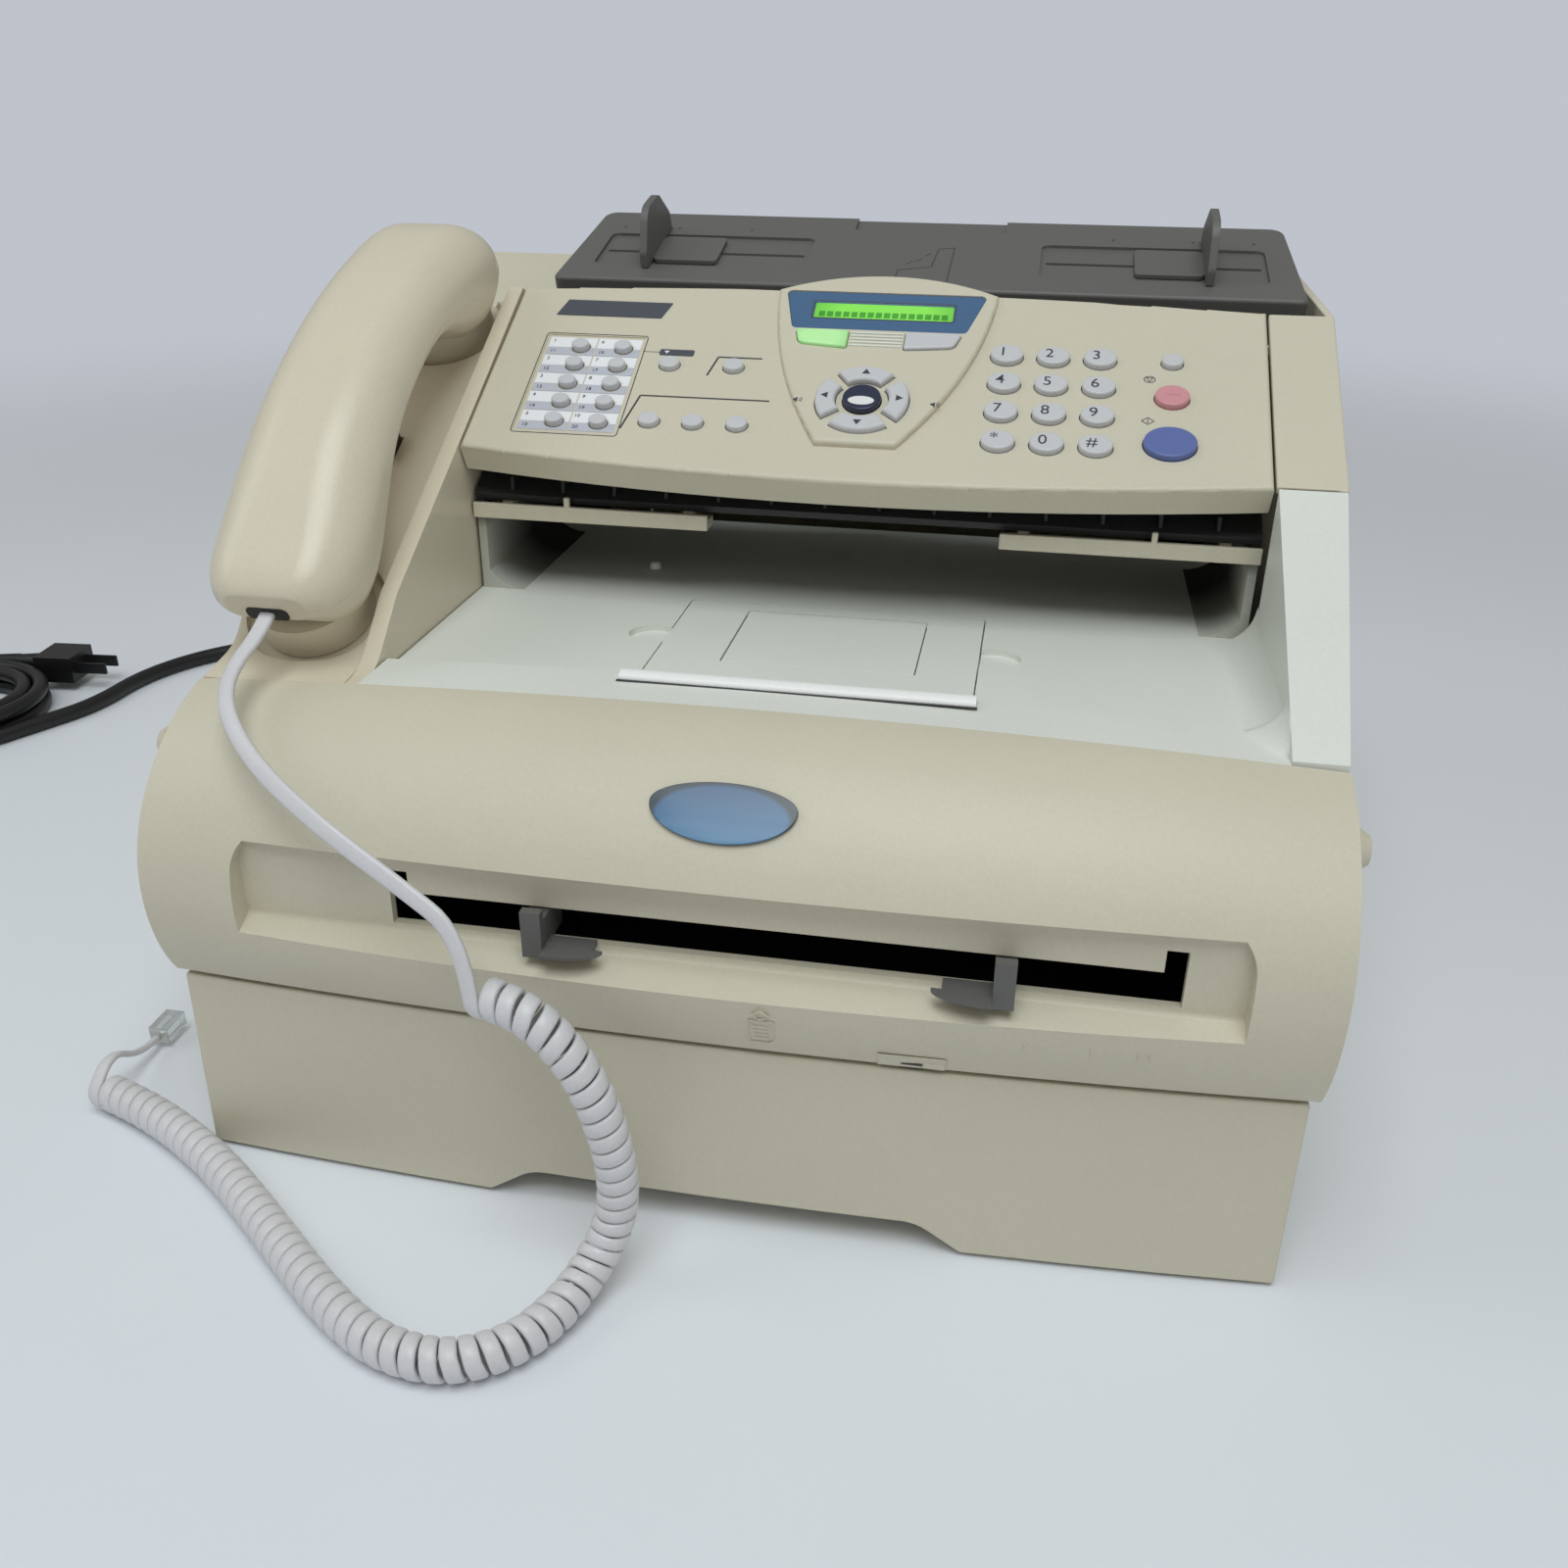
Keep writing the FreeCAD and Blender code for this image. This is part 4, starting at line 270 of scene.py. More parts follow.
def make_spark_grain():
    """Height of a fine moulded grain."""
    tree, start, end = node_group("spark_grain", "ShaderNodeTree", {"Scale": "Float"}, {"Height": "Float"})
    place = add(tree, "ShaderNodeTexCoord")
    grain = add(tree, "ShaderNodeTexNoise", Detail=4.0, Roughness=0.65)
    wire(tree, (place, "Object", grain, "Vector"), (start, "Scale", grain, "Scale"), (grain, "Fac", end, "Height"))
    return tree


AGED_TONE = make_aged_tone()
SPARK_GRAIN = make_spark_grain()
print("shared effects:", AGED_TONE.name, SPARK_GRAIN.name)

# %% Plastic
GRAIN_DEEP, COAT_ROUGH = 0.0003, 0.08


def linear(hex_colour):
    """Scene-linear colour of a #rrggbb value."""
    parts = [int(hex_colour[i:i + 2], 16) / 255 for i in (1, 3, 5)]
    return tuple(p / 12.92 if p <= 0.04045 else ((p + 0.055) / 1.055) ** 2.4 for p in parts) + (1.0,)


def new_material(name):
    """Material with nodes, its tree and its shader."""
    material = bpy.data.materials.new(name)
    material.use_nodes = True
    return material, material.node_tree, material.node_tree.nodes["Principled BSDF"]


def add_tone(tree, shader, **values):
    """Aged tone for a shader's colour and roughness."""
    tone = add(tree, "ShaderNodeGroup", name="tone", node_tree=AGED_TONE, **values)
    wire(tree, (tone, "Color", shader, "Base Color"), (tone, "Roughness", shader, "Roughness"))


def plastic(name, colour, roughness=0.5, grain=1500.0, depth=0.12, drift=0.1, coat=0.0):
    """Moulded plastic: aged tone for its colour, spark grain for its surface."""
    material, tree, shader = new_material(name)
    give(shader, Coat_Weight=coat, Coat_Roughness=COAT_ROUGH)
    add_tone(tree, shader, Color=linear(colour), Drift=drift, Roughness=roughness)
    grit = add(tree, "ShaderNodeGroup", node_tree=SPARK_GRAIN, Scale=grain)
    bump = add(tree, "ShaderNodeBump", Strength=depth, Distance=GRAIN_DEEP)
    wire(tree, (grit, "Height", bump, "Height"), (bump, "Normal", shader, "Normal"))
    material.diffuse_color = linear(colour)
    return material


print("plastic ready, coat roughness", COAT_ROUGH)

# %% Plastics of the frame
FINISH = {
    "housing": plastic("housing_beige", "#CFC8B3", 0.46, depth=0.18),
    "tray": plastic("tray_grey_green", "#DEE0D8", 0.46, depth=0.18),
    "cream": plastic("handset_cream", "#D8CEB8", 0.32, depth=0.1),
    "chassis_black": plastic("chassis_black", "#2B2B2D", 0.55),
    "dark_grey": plastic("tray_dark_grey", "#63615F", 0.5, depth=0.2),
    "key_grey": plastic("key_grey", "#C9C9CB", 0.4, depth=0.05),
    "start_blue": plastic("start_blue", "#5F6EA8", 0.35, depth=0.04),
    "stop_pink": plastic("stop_pink", "#D3939A", 0.35, depth=0.04),
    "navy": plastic("menu_navy", "#2A3046", 0.3, depth=0.04),
    "display": plastic("display_blue", "#44678D", 0.22, depth=0.0, coat=0.4),
    "badge": plastic("badge_blue", "#4E7FA8", 0.15, depth=0.0, coat=1.0),
    "rubber": plastic("foot_rubber", "#242424", 0.8),
    "mains_black": plastic("mains_black", "#131314", 0.42, depth=0.06),
    "cord_grey": plastic("cord_grey", "#D6D4D6", 0.36, depth=0.04),
    "drum_coat": plastic("drum_coat", "#3F6F70", 0.12, depth=0.0, coat=1.0),
}
print("plastics:", len(FINISH))

# %% [markdown]
# The small plug at the end of the handset cord is clear, with plain values on all its sockets.

# %% Clear plastic
FINISH["clear"], _, clear_shader = new_material("clear_plastic")
give(clear_shader, Base_Color=(0.9, 0.92, 0.92, 1.0), Roughness=0.08, Transmission_Weight=0.85, IOR=1.49)
print("clear finish ready")

# %% [markdown]
# ## The frame's own pieces
#
# The pieces come as loose triangles. Welding them, dissolving flat regions and bevelling what is
# left gives moulded edges that catch the light, and weighted normals keep the flat faces flat. The
# modifiers leave the frame's own points alone. The panel gets its normals further on.

# %% Dress the frame
EDGE_WIDTH = {"front_cover": 0.8, "paper_cassette": 0.8, "handset_cover": 0.6, "side_cover_left": 0.8,
              "side_cover_right": 0.8, "rear_cover": 0.8, "document_tray": 0.5, "top_cover": 0.7,
              "handset_cradle": 0.9, "front_badge": 1.3}
FINE_EDGE, WELD_REACH = 0.3, 1e-5
FLAT_ANGLE, SHARP_ANGLE = math.radians(0.5), math.radians(32)


def soften(piece, width):
    """Welded, bevelled and smoothly shaded, by modifiers."""
    modify(piece, "weld", "WELD", merge_threshold=WELD_REACH)
    modify(piece, "flatten", "DECIMATE", decimate_type="DISSOLVE", angle_limit=FLAT_ANGLE)
    modify(piece, "moulded_edge", "BEVEL", width=width * MM, segments=2, limit_method="ANGLE",
           angle_limit=SHARP_ANGLE, use_clamp_overlap=True)
    modify(piece, "even_shading", "WEIGHTED_NORMAL", keep_sharp=True)
    for polygon in piece.data.polygons:
        polygon.use_smooth = True


slot_of = {entry["node"]: entry["material_slot"] for entry in frame["record"]["subparts"]}
for name, piece in nodes.items():
    piece.data.materials.clear()
    piece.data.materials.append(FINISH[slot_of[name]])
    if "cord" not in name and name != "panel_cover":
        soften(piece, EDGE_WIDTH.get(name, FINE_EDGE))
print("dressed", len(nodes), "pieces")

# %% [markdown]
# ## Mains lead
#
# The lead leaves the strain relief, drops to the table and runs to the left. The length that isn't
# needed lies in a tied coil outside the view. One spline holds the route and the turns, with the
# route's points as its control points.

# %% Mains route
RELIEF_END = Vector((-150.0, 217.0, 46.0))
MAINS_WIDE = 8.0
FLOOR_REST = MAINS_WIDE / 2 + 0.3
FULL_DROP = 41.7
MAINS_OFFSETS = (
    (0, 0, 0), (0, 26, 0), (-18, 52, -8), (-54, 68, -22), (-98, 72, -34), (-142, 65, -40),
    (-186, 52, -FULL_DROP), (-226, 34, -FULL_DROP), (-258, 6, -FULL_DROP), (-276, -32, -FULL_DROP),
    (-286, -72, -FULL_DROP), (-296, -112, -FULL_DROP),
)
COIL_TURNS, COIL_MIDDLE, COIL_STEP, POINTS_A_TURN = 4.7, 88.0, 8.8, 16
COIL_CLIMB, COIL_TURN_BACK, COIL_RUN_IN = 0.5, 0.1, 34.0


def mains_route():
    """Points of the run and of the coil, in along the table and out on top. Also the coil's centre."""
    drop = FLOOR_REST - (RELIEF_END.z - FULL_DROP)
    route = [RELIEF_END + Vector(offset) + Vector((0, 0, drop * clamp(-offset[2] / FULL_DROP)))
             for offset in MAINS_OFFSETS]
    layer = COIL_TURNS / 2
    outer = COIL_MIDDLE / 2 + COIL_STEP * layer / 2
    heading = (route[-1] - route[-2]).normalized()
    centre = route[-1] + Vector((heading.y, -heading.x, 0.0)).normalized() * outer
    first = math.atan2(route[-1].y - centre.y, route[-1].x - centre.x)
    count = int(COIL_TURNS * POINTS_A_TURN)
    turns = []
    for i in range(count + 1):
        done = COIL_TURNS * i / count
        climb = clamp((done - layer + COIL_CLIMB / 2) / COIL_CLIMB)
        rise = COIL_STEP * climb * climb * (3 - 2 * climb)
        radius = outer - COIL_STEP * (layer - math.hypot(done - layer, COIL_TURN_BACK))
        angle = first - 2 * math.pi * done
        turns.append(Vector((centre.x + radius * math.cos(angle), centre.y + radius * math.sin(angle),
                             FLOOR_REST + rise)))
    ahead = way_at(turns, 0)
    begin = turns[0] - ahead * MAINS_WIDE
    stop = turns[-1] + way_at(turns, count) * MAINS_WIDE
    return route[:-2] + [begin - ahead * COIL_RUN_IN, begin] + turns + [stop], centre


mains_points, coil_centre = mains_route()
print("mains lead:", len(mains_points), "control points")

# %% Mains lead


def spline_object(name, points, bevel):
    """Curve of one open NURBS spline, in metres, from points in millimetres."""
    data = set_all(bpy.data.curves.new(name, "CURVE"), dimensions="3D", bevel_depth=bevel * MM,
                   bevel_resolution=5, use_fill_caps=True)
    spline = data.splines.new("NURBS")
    spline.points.add(len(points) - 1)
    for control, point in zip(spline.points, points):
        control.co = (*(c * MM for c in point), 1.0)
    set_all(spline, order_u=3, use_endpoint_u=True, resolution_u=6)
    return place_object(name, data)


def line_points(name, points):
    """Points along the smooth line of a route, in millimetres."""
    guide = spline_object(name, points, 0.0)
    mesh = evaluated(guide)
    found = [v.co / MM for v in mesh.vertices]
    bpy.data.objects.remove(guide)
    bpy.data.meshes.remove(mesh)
    return found


mains = spline_object("mains_lead", mains_points, MAINS_WIDE / 2)
mains.data.materials.append(FINISH["mains_black"])
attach(mains, "chassis")
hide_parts("power_cord", "power_cord_coil")
mains_line = line_points("mains_guide", mains_points)

# %% [markdown]
# ## Handset cord
#
# The cord starts as a flat lead, becomes a curl of small turns and ends in a short tail with a
# clear plug. A winding with a flat section is easiest as a mesh: the route's spline gives the axis,
# a frame is carried along it, and a rounded section is placed at each point of the winding.

# %% Handset cord routes
LEAD_START = Vector((-151.0, -125.543, 172.031))
LEAD_WAY = Vector((0.0, -0.87462, -0.48481))
LEAD_BENDS = (
    (-153, -144, 163), (-151, -156, 158.5), (-143, -168, 153), (-127, -181, 145), (-104, -191, 134),
    (-81, -195.5, 121),
)
CURL_IN_AIR = (
    (-60, -199, 91), (-50, -202, 91.5), (-39, -204.5, 86), (-29, -206, 73.5), (-23, -206.5, 56),
    (-20.5, -206, 38), (-22, -206.5, 22), (-27, -213, 10.5),
)
CURL_REST = 6.8
CURL_ON_FLOOR = (
    (-33, -229), (-42, -244), (-58, -253), (-79, -250.5), (-100, -238), (-120, -222.5), (-140, -206.5),
    (-161, -191), (-184, -177.5), (-206, -168), (-218, -164.5),
)
CURL_TURNS, CURL_OUTER, CURL_WIRE, CURL_PHASE = 64, 12.8, 2.6, 165.0
PLUG_AT = Vector((-219.0, -131.0, 5.2))
STEPS_A_TURN = 20
LEAD_RUN_OUT, CURL_RUN_IN, CURL_RUN_OUT, PLUG_RUN_IN = 9.0, 18.0, 9.0, Vector((0, 12, 0))


def even_points(points, count):
    """Points at even distances along a line of points."""
    total = line_length(points)
    result, travelled, index = [points[0]], 0.0, 0
    for i in range(1, count):
        target = total * i / count
        while travelled + (points[index + 1] - points[index]).length < target:
            travelled += (points[index + 1] - points[index]).length
            index += 1
        run = points[index + 1] - points[index]
        result.append(points[index] + run * ((target - travelled) / run.length))
    return result + [points[-1]]


def winding(axis):
    """Points and outward directions of the curl around its axis."""
    spine = even_points(axis, CURL_TURNS * STEPS_A_TURN)
    side = Vector((0, 0, 1)).cross(spine[1] - spine[0]).normalized()
    radius = (CURL_OUTER - CURL_WIRE) / 2
    points, outward = [], []
    for i, point in enumerate(spine):
        way = way_at(spine, i)
        side = square_to(way, side)
        angle = math.radians(CURL_PHASE) + 2 * math.pi * i / STEPS_A_TURN
        ray = side * math.cos(angle) + way.cross(side) * math.sin(angle)
        points.append(point + ray * radius)
        outward.append(ray)
    return points, outward


print("winding:", CURL_TURNS, "turns")

# %% Handset cord lines
curl_axis = list(CURL_IN_AIR) + [(x, y, CURL_REST) for x, y in CURL_ON_FLOOR]
curl_points, curl_rays = winding(line_points("curl_guide", curl_axis))
curl_in, curl_out = way_at(curl_points, 0), way_at(curl_points, len(curl_points) - 1)
curl_begin = curl_points[0] - curl_in * CURL_WIRE
curl_stop = curl_points[-1] + curl_out * CURL_WIRE
lead_route = [LEAD_START, LEAD_START + LEAD_WAY * LEAD_RUN_OUT] + [Vector(p) for p in LEAD_BENDS]
lead_points = line_points("lead_guide", lead_route + [curl_begin - curl_in * CURL_RUN_IN, curl_begin])
tail_route = [curl_stop, curl_stop + curl_out * CURL_RUN_OUT, PLUG_AT - PLUG_RUN_IN, PLUG_AT]
tail_points = line_points("tail_guide", tail_route)
print("lead %.0f mm, curl wire %.0f mm" % (line_length(lead_points), line_length(curl_points)))

# %% Handset cord section
SECTION_SIDES, SECTION_POWER = 12, 0.62
LEAD_FLAT, LEAD_THIN = 5.2, 2.4
WIRE_FLAT, WIRE_THIN = 5.0, 2.3
TURN_SHARE = 0.92
BLEND_STEPS = 14
LEAD_UP = Vector((0, -0.5, 0.87))


def carried_rays(points, first, last=None):
    """Directions square to a line, carried along it from the first and turned to end at the last."""
    ways = [way_at(points, i) for i in range(len(points))]
    rays, ray = [], first
    for way in ways:
        ray = square_to(way, ray)
        rays.append(ray)
    if last is None:
        return rays
    goal = square_to(ways[-1], last)
    angle = math.atan2(ways[-1].dot(rays[-1].cross(goal)), rays[-1].dot(goal))
    return [Matrix.Rotation(angle * i / (len(points) - 1), 3, way) @ rays[i] for i, way in enumerate(ways)]


def flat_tube(points, rays, sizes):
    """Smooth closed tube of a rounded flat section. Rays give the thin direction, sizes (flat, thin)."""
    build = bmesh.new()
    loops = []
    for i, (point, ray, (flat, thin)) in enumerate(zip(points, rays, sizes)):
        across = way_at(points, i).cross(ray).normalized()
        loops.append([])
        for k in range(SECTION_SIDES):
            angle = 2 * math.pi * k / SECTION_SIDES
            c, s = math.cos(angle), math.sin(angle)
            u = math.copysign(abs(c) ** SECTION_POWER, c) * flat / 2
            w = math.copysign(abs(s) ** SECTION_POWER, s) * thin / 2
            loops[-1].append(build.verts.new(point + across * u + ray * w))
    closed_skin(build, loops)
    for face in build.faces:
        face.smooth = True
    return build


def turn_width(i):
    """Width of the wire at a point of the curl, so that each turn nearly touches its neighbours."""
    near = [j for j in (i - STEPS_A_TURN, i + STEPS_A_TURN) if 0 <= j < len(curl_points)]
    return min([WIRE_FLAT] + [(curl_points[j] - curl_points[i]).length * TURN_SHARE for j in near])


print("cord section of", SECTION_SIDES, "sides")

# %% Handset cord
lead_rays = carried_rays(lead_points, LEAD_UP, curl_rays[0])
tail_rays = carried_rays(tail_points, curl_rays[-1])
cord_line = lead_points[:-1] + [curl_begin] + curl_points + tail_points
cord_rays = lead_rays[:-1] + [curl_rays[0]] + curl_rays + tail_rays
lead_count, curl_count = len(lead_points), len(curl_points)
cord_sizes = []
for i in range(len(cord_line)):
    before = clamp((lead_count - i) / BLEND_STEPS)
    after = clamp((i - lead_count - curl_count) / BLEND_STEPS)
    turn = turn_width(min(max(i - lead_count, 0), curl_count - 1))
    wide = turn + (LEAD_FLAT - turn) * before + (WIRE_THIN - turn) * after
    cord_sizes.append((wide, WIRE_THIN + (LEAD_THIN - WIRE_THIN) * before))
handset_cord = mesh_piece("handset_cord", flat_tube(cord_line, cord_rays, cord_sizes), FINISH["cord_grey"], "handset")
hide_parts("handset_cord_lead", "handset_cord_curl")
print("handset cord %.0f mm, %d faces" % (line_length(cord_line), len(handset_cord.data.polygons)))

# %% [markdown]
# ## Marks on the panel
#
# The panel lies on a plane that climbs to the back at 29 degrees. A mark is described by its place
# on that plane: x across, v up the slope and n above it. Each printed mark is a very thin plate, so
# that it has real edges from every side.

# %% Outlines


def bar(x0, v0, x1, v1):
    return [(x0, v0), (x1, v0), (x1, v1), (x0, v1)]


def arc(x, v, half_x, half_v, low, high, steps):
    """Points of an oval between two angles in degrees, with both ends."""
    angles = [math.radians(low + (high - low) * k / steps) for k in range(steps + 1)]
    return [(x + half_x * math.cos(a), v + half_v * math.sin(a)) for a in angles]


def ellipse(x, v, half_x, half_v, steps=40):
    return arc(x, v, half_x, half_v, 0, 360, steps)[:-1]


def rounded(x0, v0, x1, v1, radius, steps=5):
    """Outline of a rectangle with round corners."""
    points = []
    for x, v, start in ((x1 - radius, v0 + radius, -90), (x1 - radius, v1 - radius, 0),
                        (x0 + radius, v1 - radius, 90), (x0 + radius, v0 + radius, 180)):
        points += arc(x, v, radius, radius, start, start + 90, steps)
    return points


def stroke(path, width):
    """Quads that follow an open line of points."""
    quads = []
    for a, b in zip(map(Vector, path), map(Vector, path[1:])):
        way = (b - a).normalized()
        side = Vector((-way.y, way.x)) * width / 2
        quads.append([tuple(p) for p in (a - side, b - side, b + side, a + side)])
    return quads


def ring(outline, width):
    """Closed line as quads along an outline."""
    return stroke(list(outline) + [outline[0]], width)


print("outlines ready")

# %% Plates
SLOPE_AT, SLOPE_CLIMB = Vector((0.0, -131.0, 153.0)), math.radians(29.0)
SLOPE_TURN = Matrix.Rotation(SLOPE_CLIMB, 4, "X")
SLOPE_UP = SLOPE_TURN.to_3x3() @ Vector((0, 0, 1))
INK_THICK, THIN_INK = 0.08, 0.05
SHIELD_HIGH = 2.4
INK = plastic("print_ink", "#3A3B40", 0.5, depth=0.0, drift=0.05)
PALE_INK = plastic("pale_ink", "#E4E4E2", 0.5, depth=0.0, drift=0.03)
SLATE = plastic("plate_slate", "#4C4F58", 0.35, depth=0.02)


def slope_matrix(x=0.0, v=0.0, n=0.0):
    """Matrix from millimetres on the slope, about a point of it, to metres in the frame."""
    return TO_METRES @ (Matrix.Translation(SLOPE_AT) @ SLOPE_TURN @ Matrix.Translation((x, v, n)))


def plates(name, shapes, finish, body, matrix, thick=INK_THICK):
    """One piece from flat outlines, each given a thickness upwards. Placed in its mesh."""
    build = bmesh.new()
    for shape in shapes:
        face = build.faces.new([build.verts.new((p[0], p[1], 0.0)) for p in shape])
        grown = bmesh.ops.extrude_face_region(build, geom=[face])["geom"]
        moved = [item for item in grown if isinstance(item, bmesh.types.BMVert)]
        bmesh.ops.translate(build, vec=(0.0, 0.0, thick), verts=moved)
    return mesh_piece(name, build, finish, body, matrix)


def printed(name, shapes, finish=INK, n=0.0, thick=INK_THICK, body="panel"):
    """Plates at a height above the slope."""
    return plates(name, shapes, finish, body, slope_matrix(n=n), thick)


print("slope at", tuple(SLOPE_AT))

# %% [markdown]
# The panel's long edges are rounded, and the frame's triangles there are long and thin. Bevels would
# make them worse. The height of a point on a rounding gives its exact normal, so the panel gets those
# normals and keeps its flat faces flat.

# %% Panel edges
PANEL_ROUNDS = ((-1.6, 1.6), (0.9, 1.5))
NEARLY = 0.02


def round_normals(piece, rounds):
    """Normals of roundings on the slope, given as foot height and radius. Other faces stay flat."""
    mesh = piece.data
    to_slope = slope_matrix().inverted()
    normals = []
    for polygon in mesh.polygons:
        polygon.use_smooth = True
        heights = [(to_slope @ mesh.vertices[i].co).z for i in polygon.vertices]
        lean = polygon.normal.dot(SLOPE_UP)
        outward = polygon.normal - SLOPE_UP * lean
        fits = [(foot, radius) for foot, radius in rounds
                if min(heights) > foot - NEARLY and max(heights) < foot + radius + NEARLY]
        bent = fits and lean > NEARLY and outward.length > NEARLY
        for height in heights:
            if bent:
                foot, radius = fits[0]
                lift = clamp((height - foot) / radius)
                normals.append(outward.normalized() * math.sqrt(1 - lift * lift) + SLOPE_UP * lift)
            else:
                normals.append(polygon.normal.copy())
    mesh.normals_split_custom_set(normals)
    return len(normals)


print("panel normals:", round_normals(nodes["panel_cover"], PANEL_ROUNDS))

# %% [markdown]
# The white card beside the one-touch keys has two columns of five cells, each white above and grey
# below. It lies in a shallow sunk field and has a hole for each key, cut with a boolean that is
# applied at once.

# %% One-touch card
CARD_N = -0.45
CARD_ROWS, CARD_PITCH, CARD_LOW = 5, 10.15, 119.2
CARD_COLUMNS = ((-102.8, -84.6), (-84.0, -67.4))
CELL_GAP, CELL_SPLIT = 0.25, 4.6
KEY_COLUMNS, TOP_KEY_V, KEY_HOLE = (-90.0, -73.7), 164.4, (3.9, 3.4)
CUT_UNDER, CUT_HIGH = 1.0, 3.0
PAPER = plastic("card_paper", "#ECECEE", 0.6, depth=0.0, drift=0.03)
PAPER_GREY = plastic("card_grey", "#BDBFC9", 0.6, depth=0.0, drift=0.03)

key_holes = [ellipse(x, TOP_KEY_V - CARD_PITCH * row, *KEY_HOLE) for x in KEY_COLUMNS for row in range(CARD_ROWS)]
white_cells, grey_cells = [], []
for x0, x1 in CARD_COLUMNS:
    for row in range(CARD_ROWS):
        low = CARD_LOW + CARD_PITCH * row
        grey_cells.append(bar(x0, low + CELL_GAP, x1, low + CELL_SPLIT))
        white_cells.append(bar(x0, low + CELL_SPLIT, x1, low + CARD_PITCH))
cards = [printed("one_touch_card", white_cells, PAPER, CARD_N),
         printed("one_touch_card_lower", grey_cells, PAPER_GREY, CARD_N)]
for card in cards:
    cut_out(card, printed(card.name + "_holes", key_holes, PAPER, CARD_N - CUT_UNDER, CUT_HIGH))
printed("one_touch_frame", ring(rounded(-104.6, 117.2, -65.6, 171.8, 1.4), 0.35))
print("card with", len(key_holes), "holes")

# %% [markdown]
# Thin printed lines tie keys into groups, a dark label stands above the shift key, and small signs
# mark the speaker level, stop and start. All are plain signs without words.

# %% Printed lines and signs
NAV_X, NAV_V = 18.5, 138.7
LABEL_HIGH, NAME_PLATE_HIGH = 0.15, 0.35


def speaker_sign(x, v):
    """Small loudspeaker with two waves."""
    shapes = [[(x - 1.1, v - 0.5), (x - 0.4, v - 0.5), (x + 0.4, v - 1.2), (x + 0.4, v + 1.2),
               (x - 0.4, v + 0.5), (x - 1.1, v + 0.5)]]
    for radius in (0.9, 1.6):
        shapes += stroke(arc(x + 0.4, v, radius, radius, -50, 50, 8), 0.22)
    return shapes


panel_lines = stroke([(-66.0, 163.2), (-59.6, 163.2)], 0.25)
panel_lines += stroke([(-39.6, 151.5), (-37.2, 161.8), (-21.0, 161.8)], 0.7)
panel_lines += stroke([(-65.2, 121.5), (-61.6, 139.2), (-14.6, 139.2)], 0.7)
panel_lines += ring(ellipse(116.4, 159.6, 1.9, 1.6, 24), 0.3)
panel_lines += ring([(115.3, 160.4), (117.5, 160.4), (116.4, 158.4)], 0.28)
panel_lines += ring([(114.0, 138.2), (116.1, 139.9), (118.2, 138.2), (116.1, 136.5)], 0.3)
panel_lines += stroke([(116.1, 139.2), (116.1, 137.2)], 0.3)
shield_lines = speaker_sign(-4.6, NAV_V - 0.5) + speaker_sign(43.5, NAV_V)
printed("panel_lines", panel_lines)
printed("shield_lines", shield_lines, n=SHIELD_HIGH)
printed("shift_label", [rounded(-59.6, 161.5, -46.6, 164.9, 0.8)], SLATE, thick=LABEL_HIGH)
printed("shift_label_arrow", [[(-57.9, 164.0), (-55.9, 164.0), (-56.9, 162.4)]], PALE_INK, LABEL_HIGH, THIN_INK)
printed("bare_plate", [[(-104.0, 182.4), (-63.2, 182.4), (-60.4, 191.4), (-101.2, 191.4)]], SLATE,
        thick=NAME_PLATE_HIGH)
print("panel lines:", len(panel_lines), "shield lines:", len(shield_lines))

# %% Arrows and key tops
KEY_TOP = 2.2
ARROW_OUT, ARROW_SIZE, ARROW_BACK = 13.0, 1.5, 0.7


def arrow(x, v, dx, dv, size):
    """Triangle that points along (dx, dv)."""
    back_x, back_v = x - dx * size * ARROW_BACK, v - dv * size * ARROW_BACK
    return [(x + dx * size, v + dv * size), (back_x - dv * size, back_v + dx * size),
            (back_x + dv * size, back_v - dx * size)]


for way, dx, dv in (("right", 1, 0), ("left", -1, 0), ("up", 0, 1), ("down", 0, -1)):
    shape = arrow(NAV_X + dx * ARROW_OUT, NAV_V + dv * ARROW_OUT, dx, dv, ARROW_SIZE)
    printed("arrow_mark_" + way, [shape], INK, KEY_TOP + SHIELD_HIGH, THIN_INK, "arrow_key_" + way)
printed("menu_oval", [ellipse(NAV_X, NAV_V - 2.1, 4.6, 2.2)], PALE_INK, KEY_TOP + SHIELD_HIGH, THIN_INK, "menu_key")
printed("stop_line", stroke([(121.6, 149.9), (126.4, 149.9)], 0.35), FINISH["stop_pink"], KEY_TOP, 0.12, "stop_key")
print("arrow marks ready")

# %% [markdown]
# The numbers are text, turned into a mesh before it is placed, so that the finished piece sits at
# the origin like every other one.

# %% Numbers
DIGITS = ("1", "2", "3", "4", "5", "6", "7", "8", "9", "*", "0", "#")
DIGIT_NAMES = {"*": "star", "#": "hash"}
DIGIT_X, DIGIT_V, DIGIT_STEP_X, DIGIT_STEP_V, DIGIT_HIGH = 65.2, 168.6, 16.3, 14.9, 6.4
CARD_TEXT_X, UPPER_V, LOWER_V, LOWER_SHIFT, CARD_TEXT_HIGH = (-101.0, -82.4), 8.2, 2.4, 0.6, 2.3
TEXT_GROWN, TEXT_CLEAR = 0.02, 0.02


def text_mesh(words, height, x, v, n):
    """Thin mesh of some text about a point of the slope."""
    writing = place_object("text", bpy.data.curves.new("text", "FONT"))
    set_all(writing.data, body=words, size=height, align_x="CENTER", align_y="CENTER", extrude=INK_THICK / 2,
            offset=TEXT_GROWN)
    mesh = evaluated(writing)
    bpy.data.objects.remove(writing)
    mesh.transform(slope_matrix(x, v, n))
    return mesh


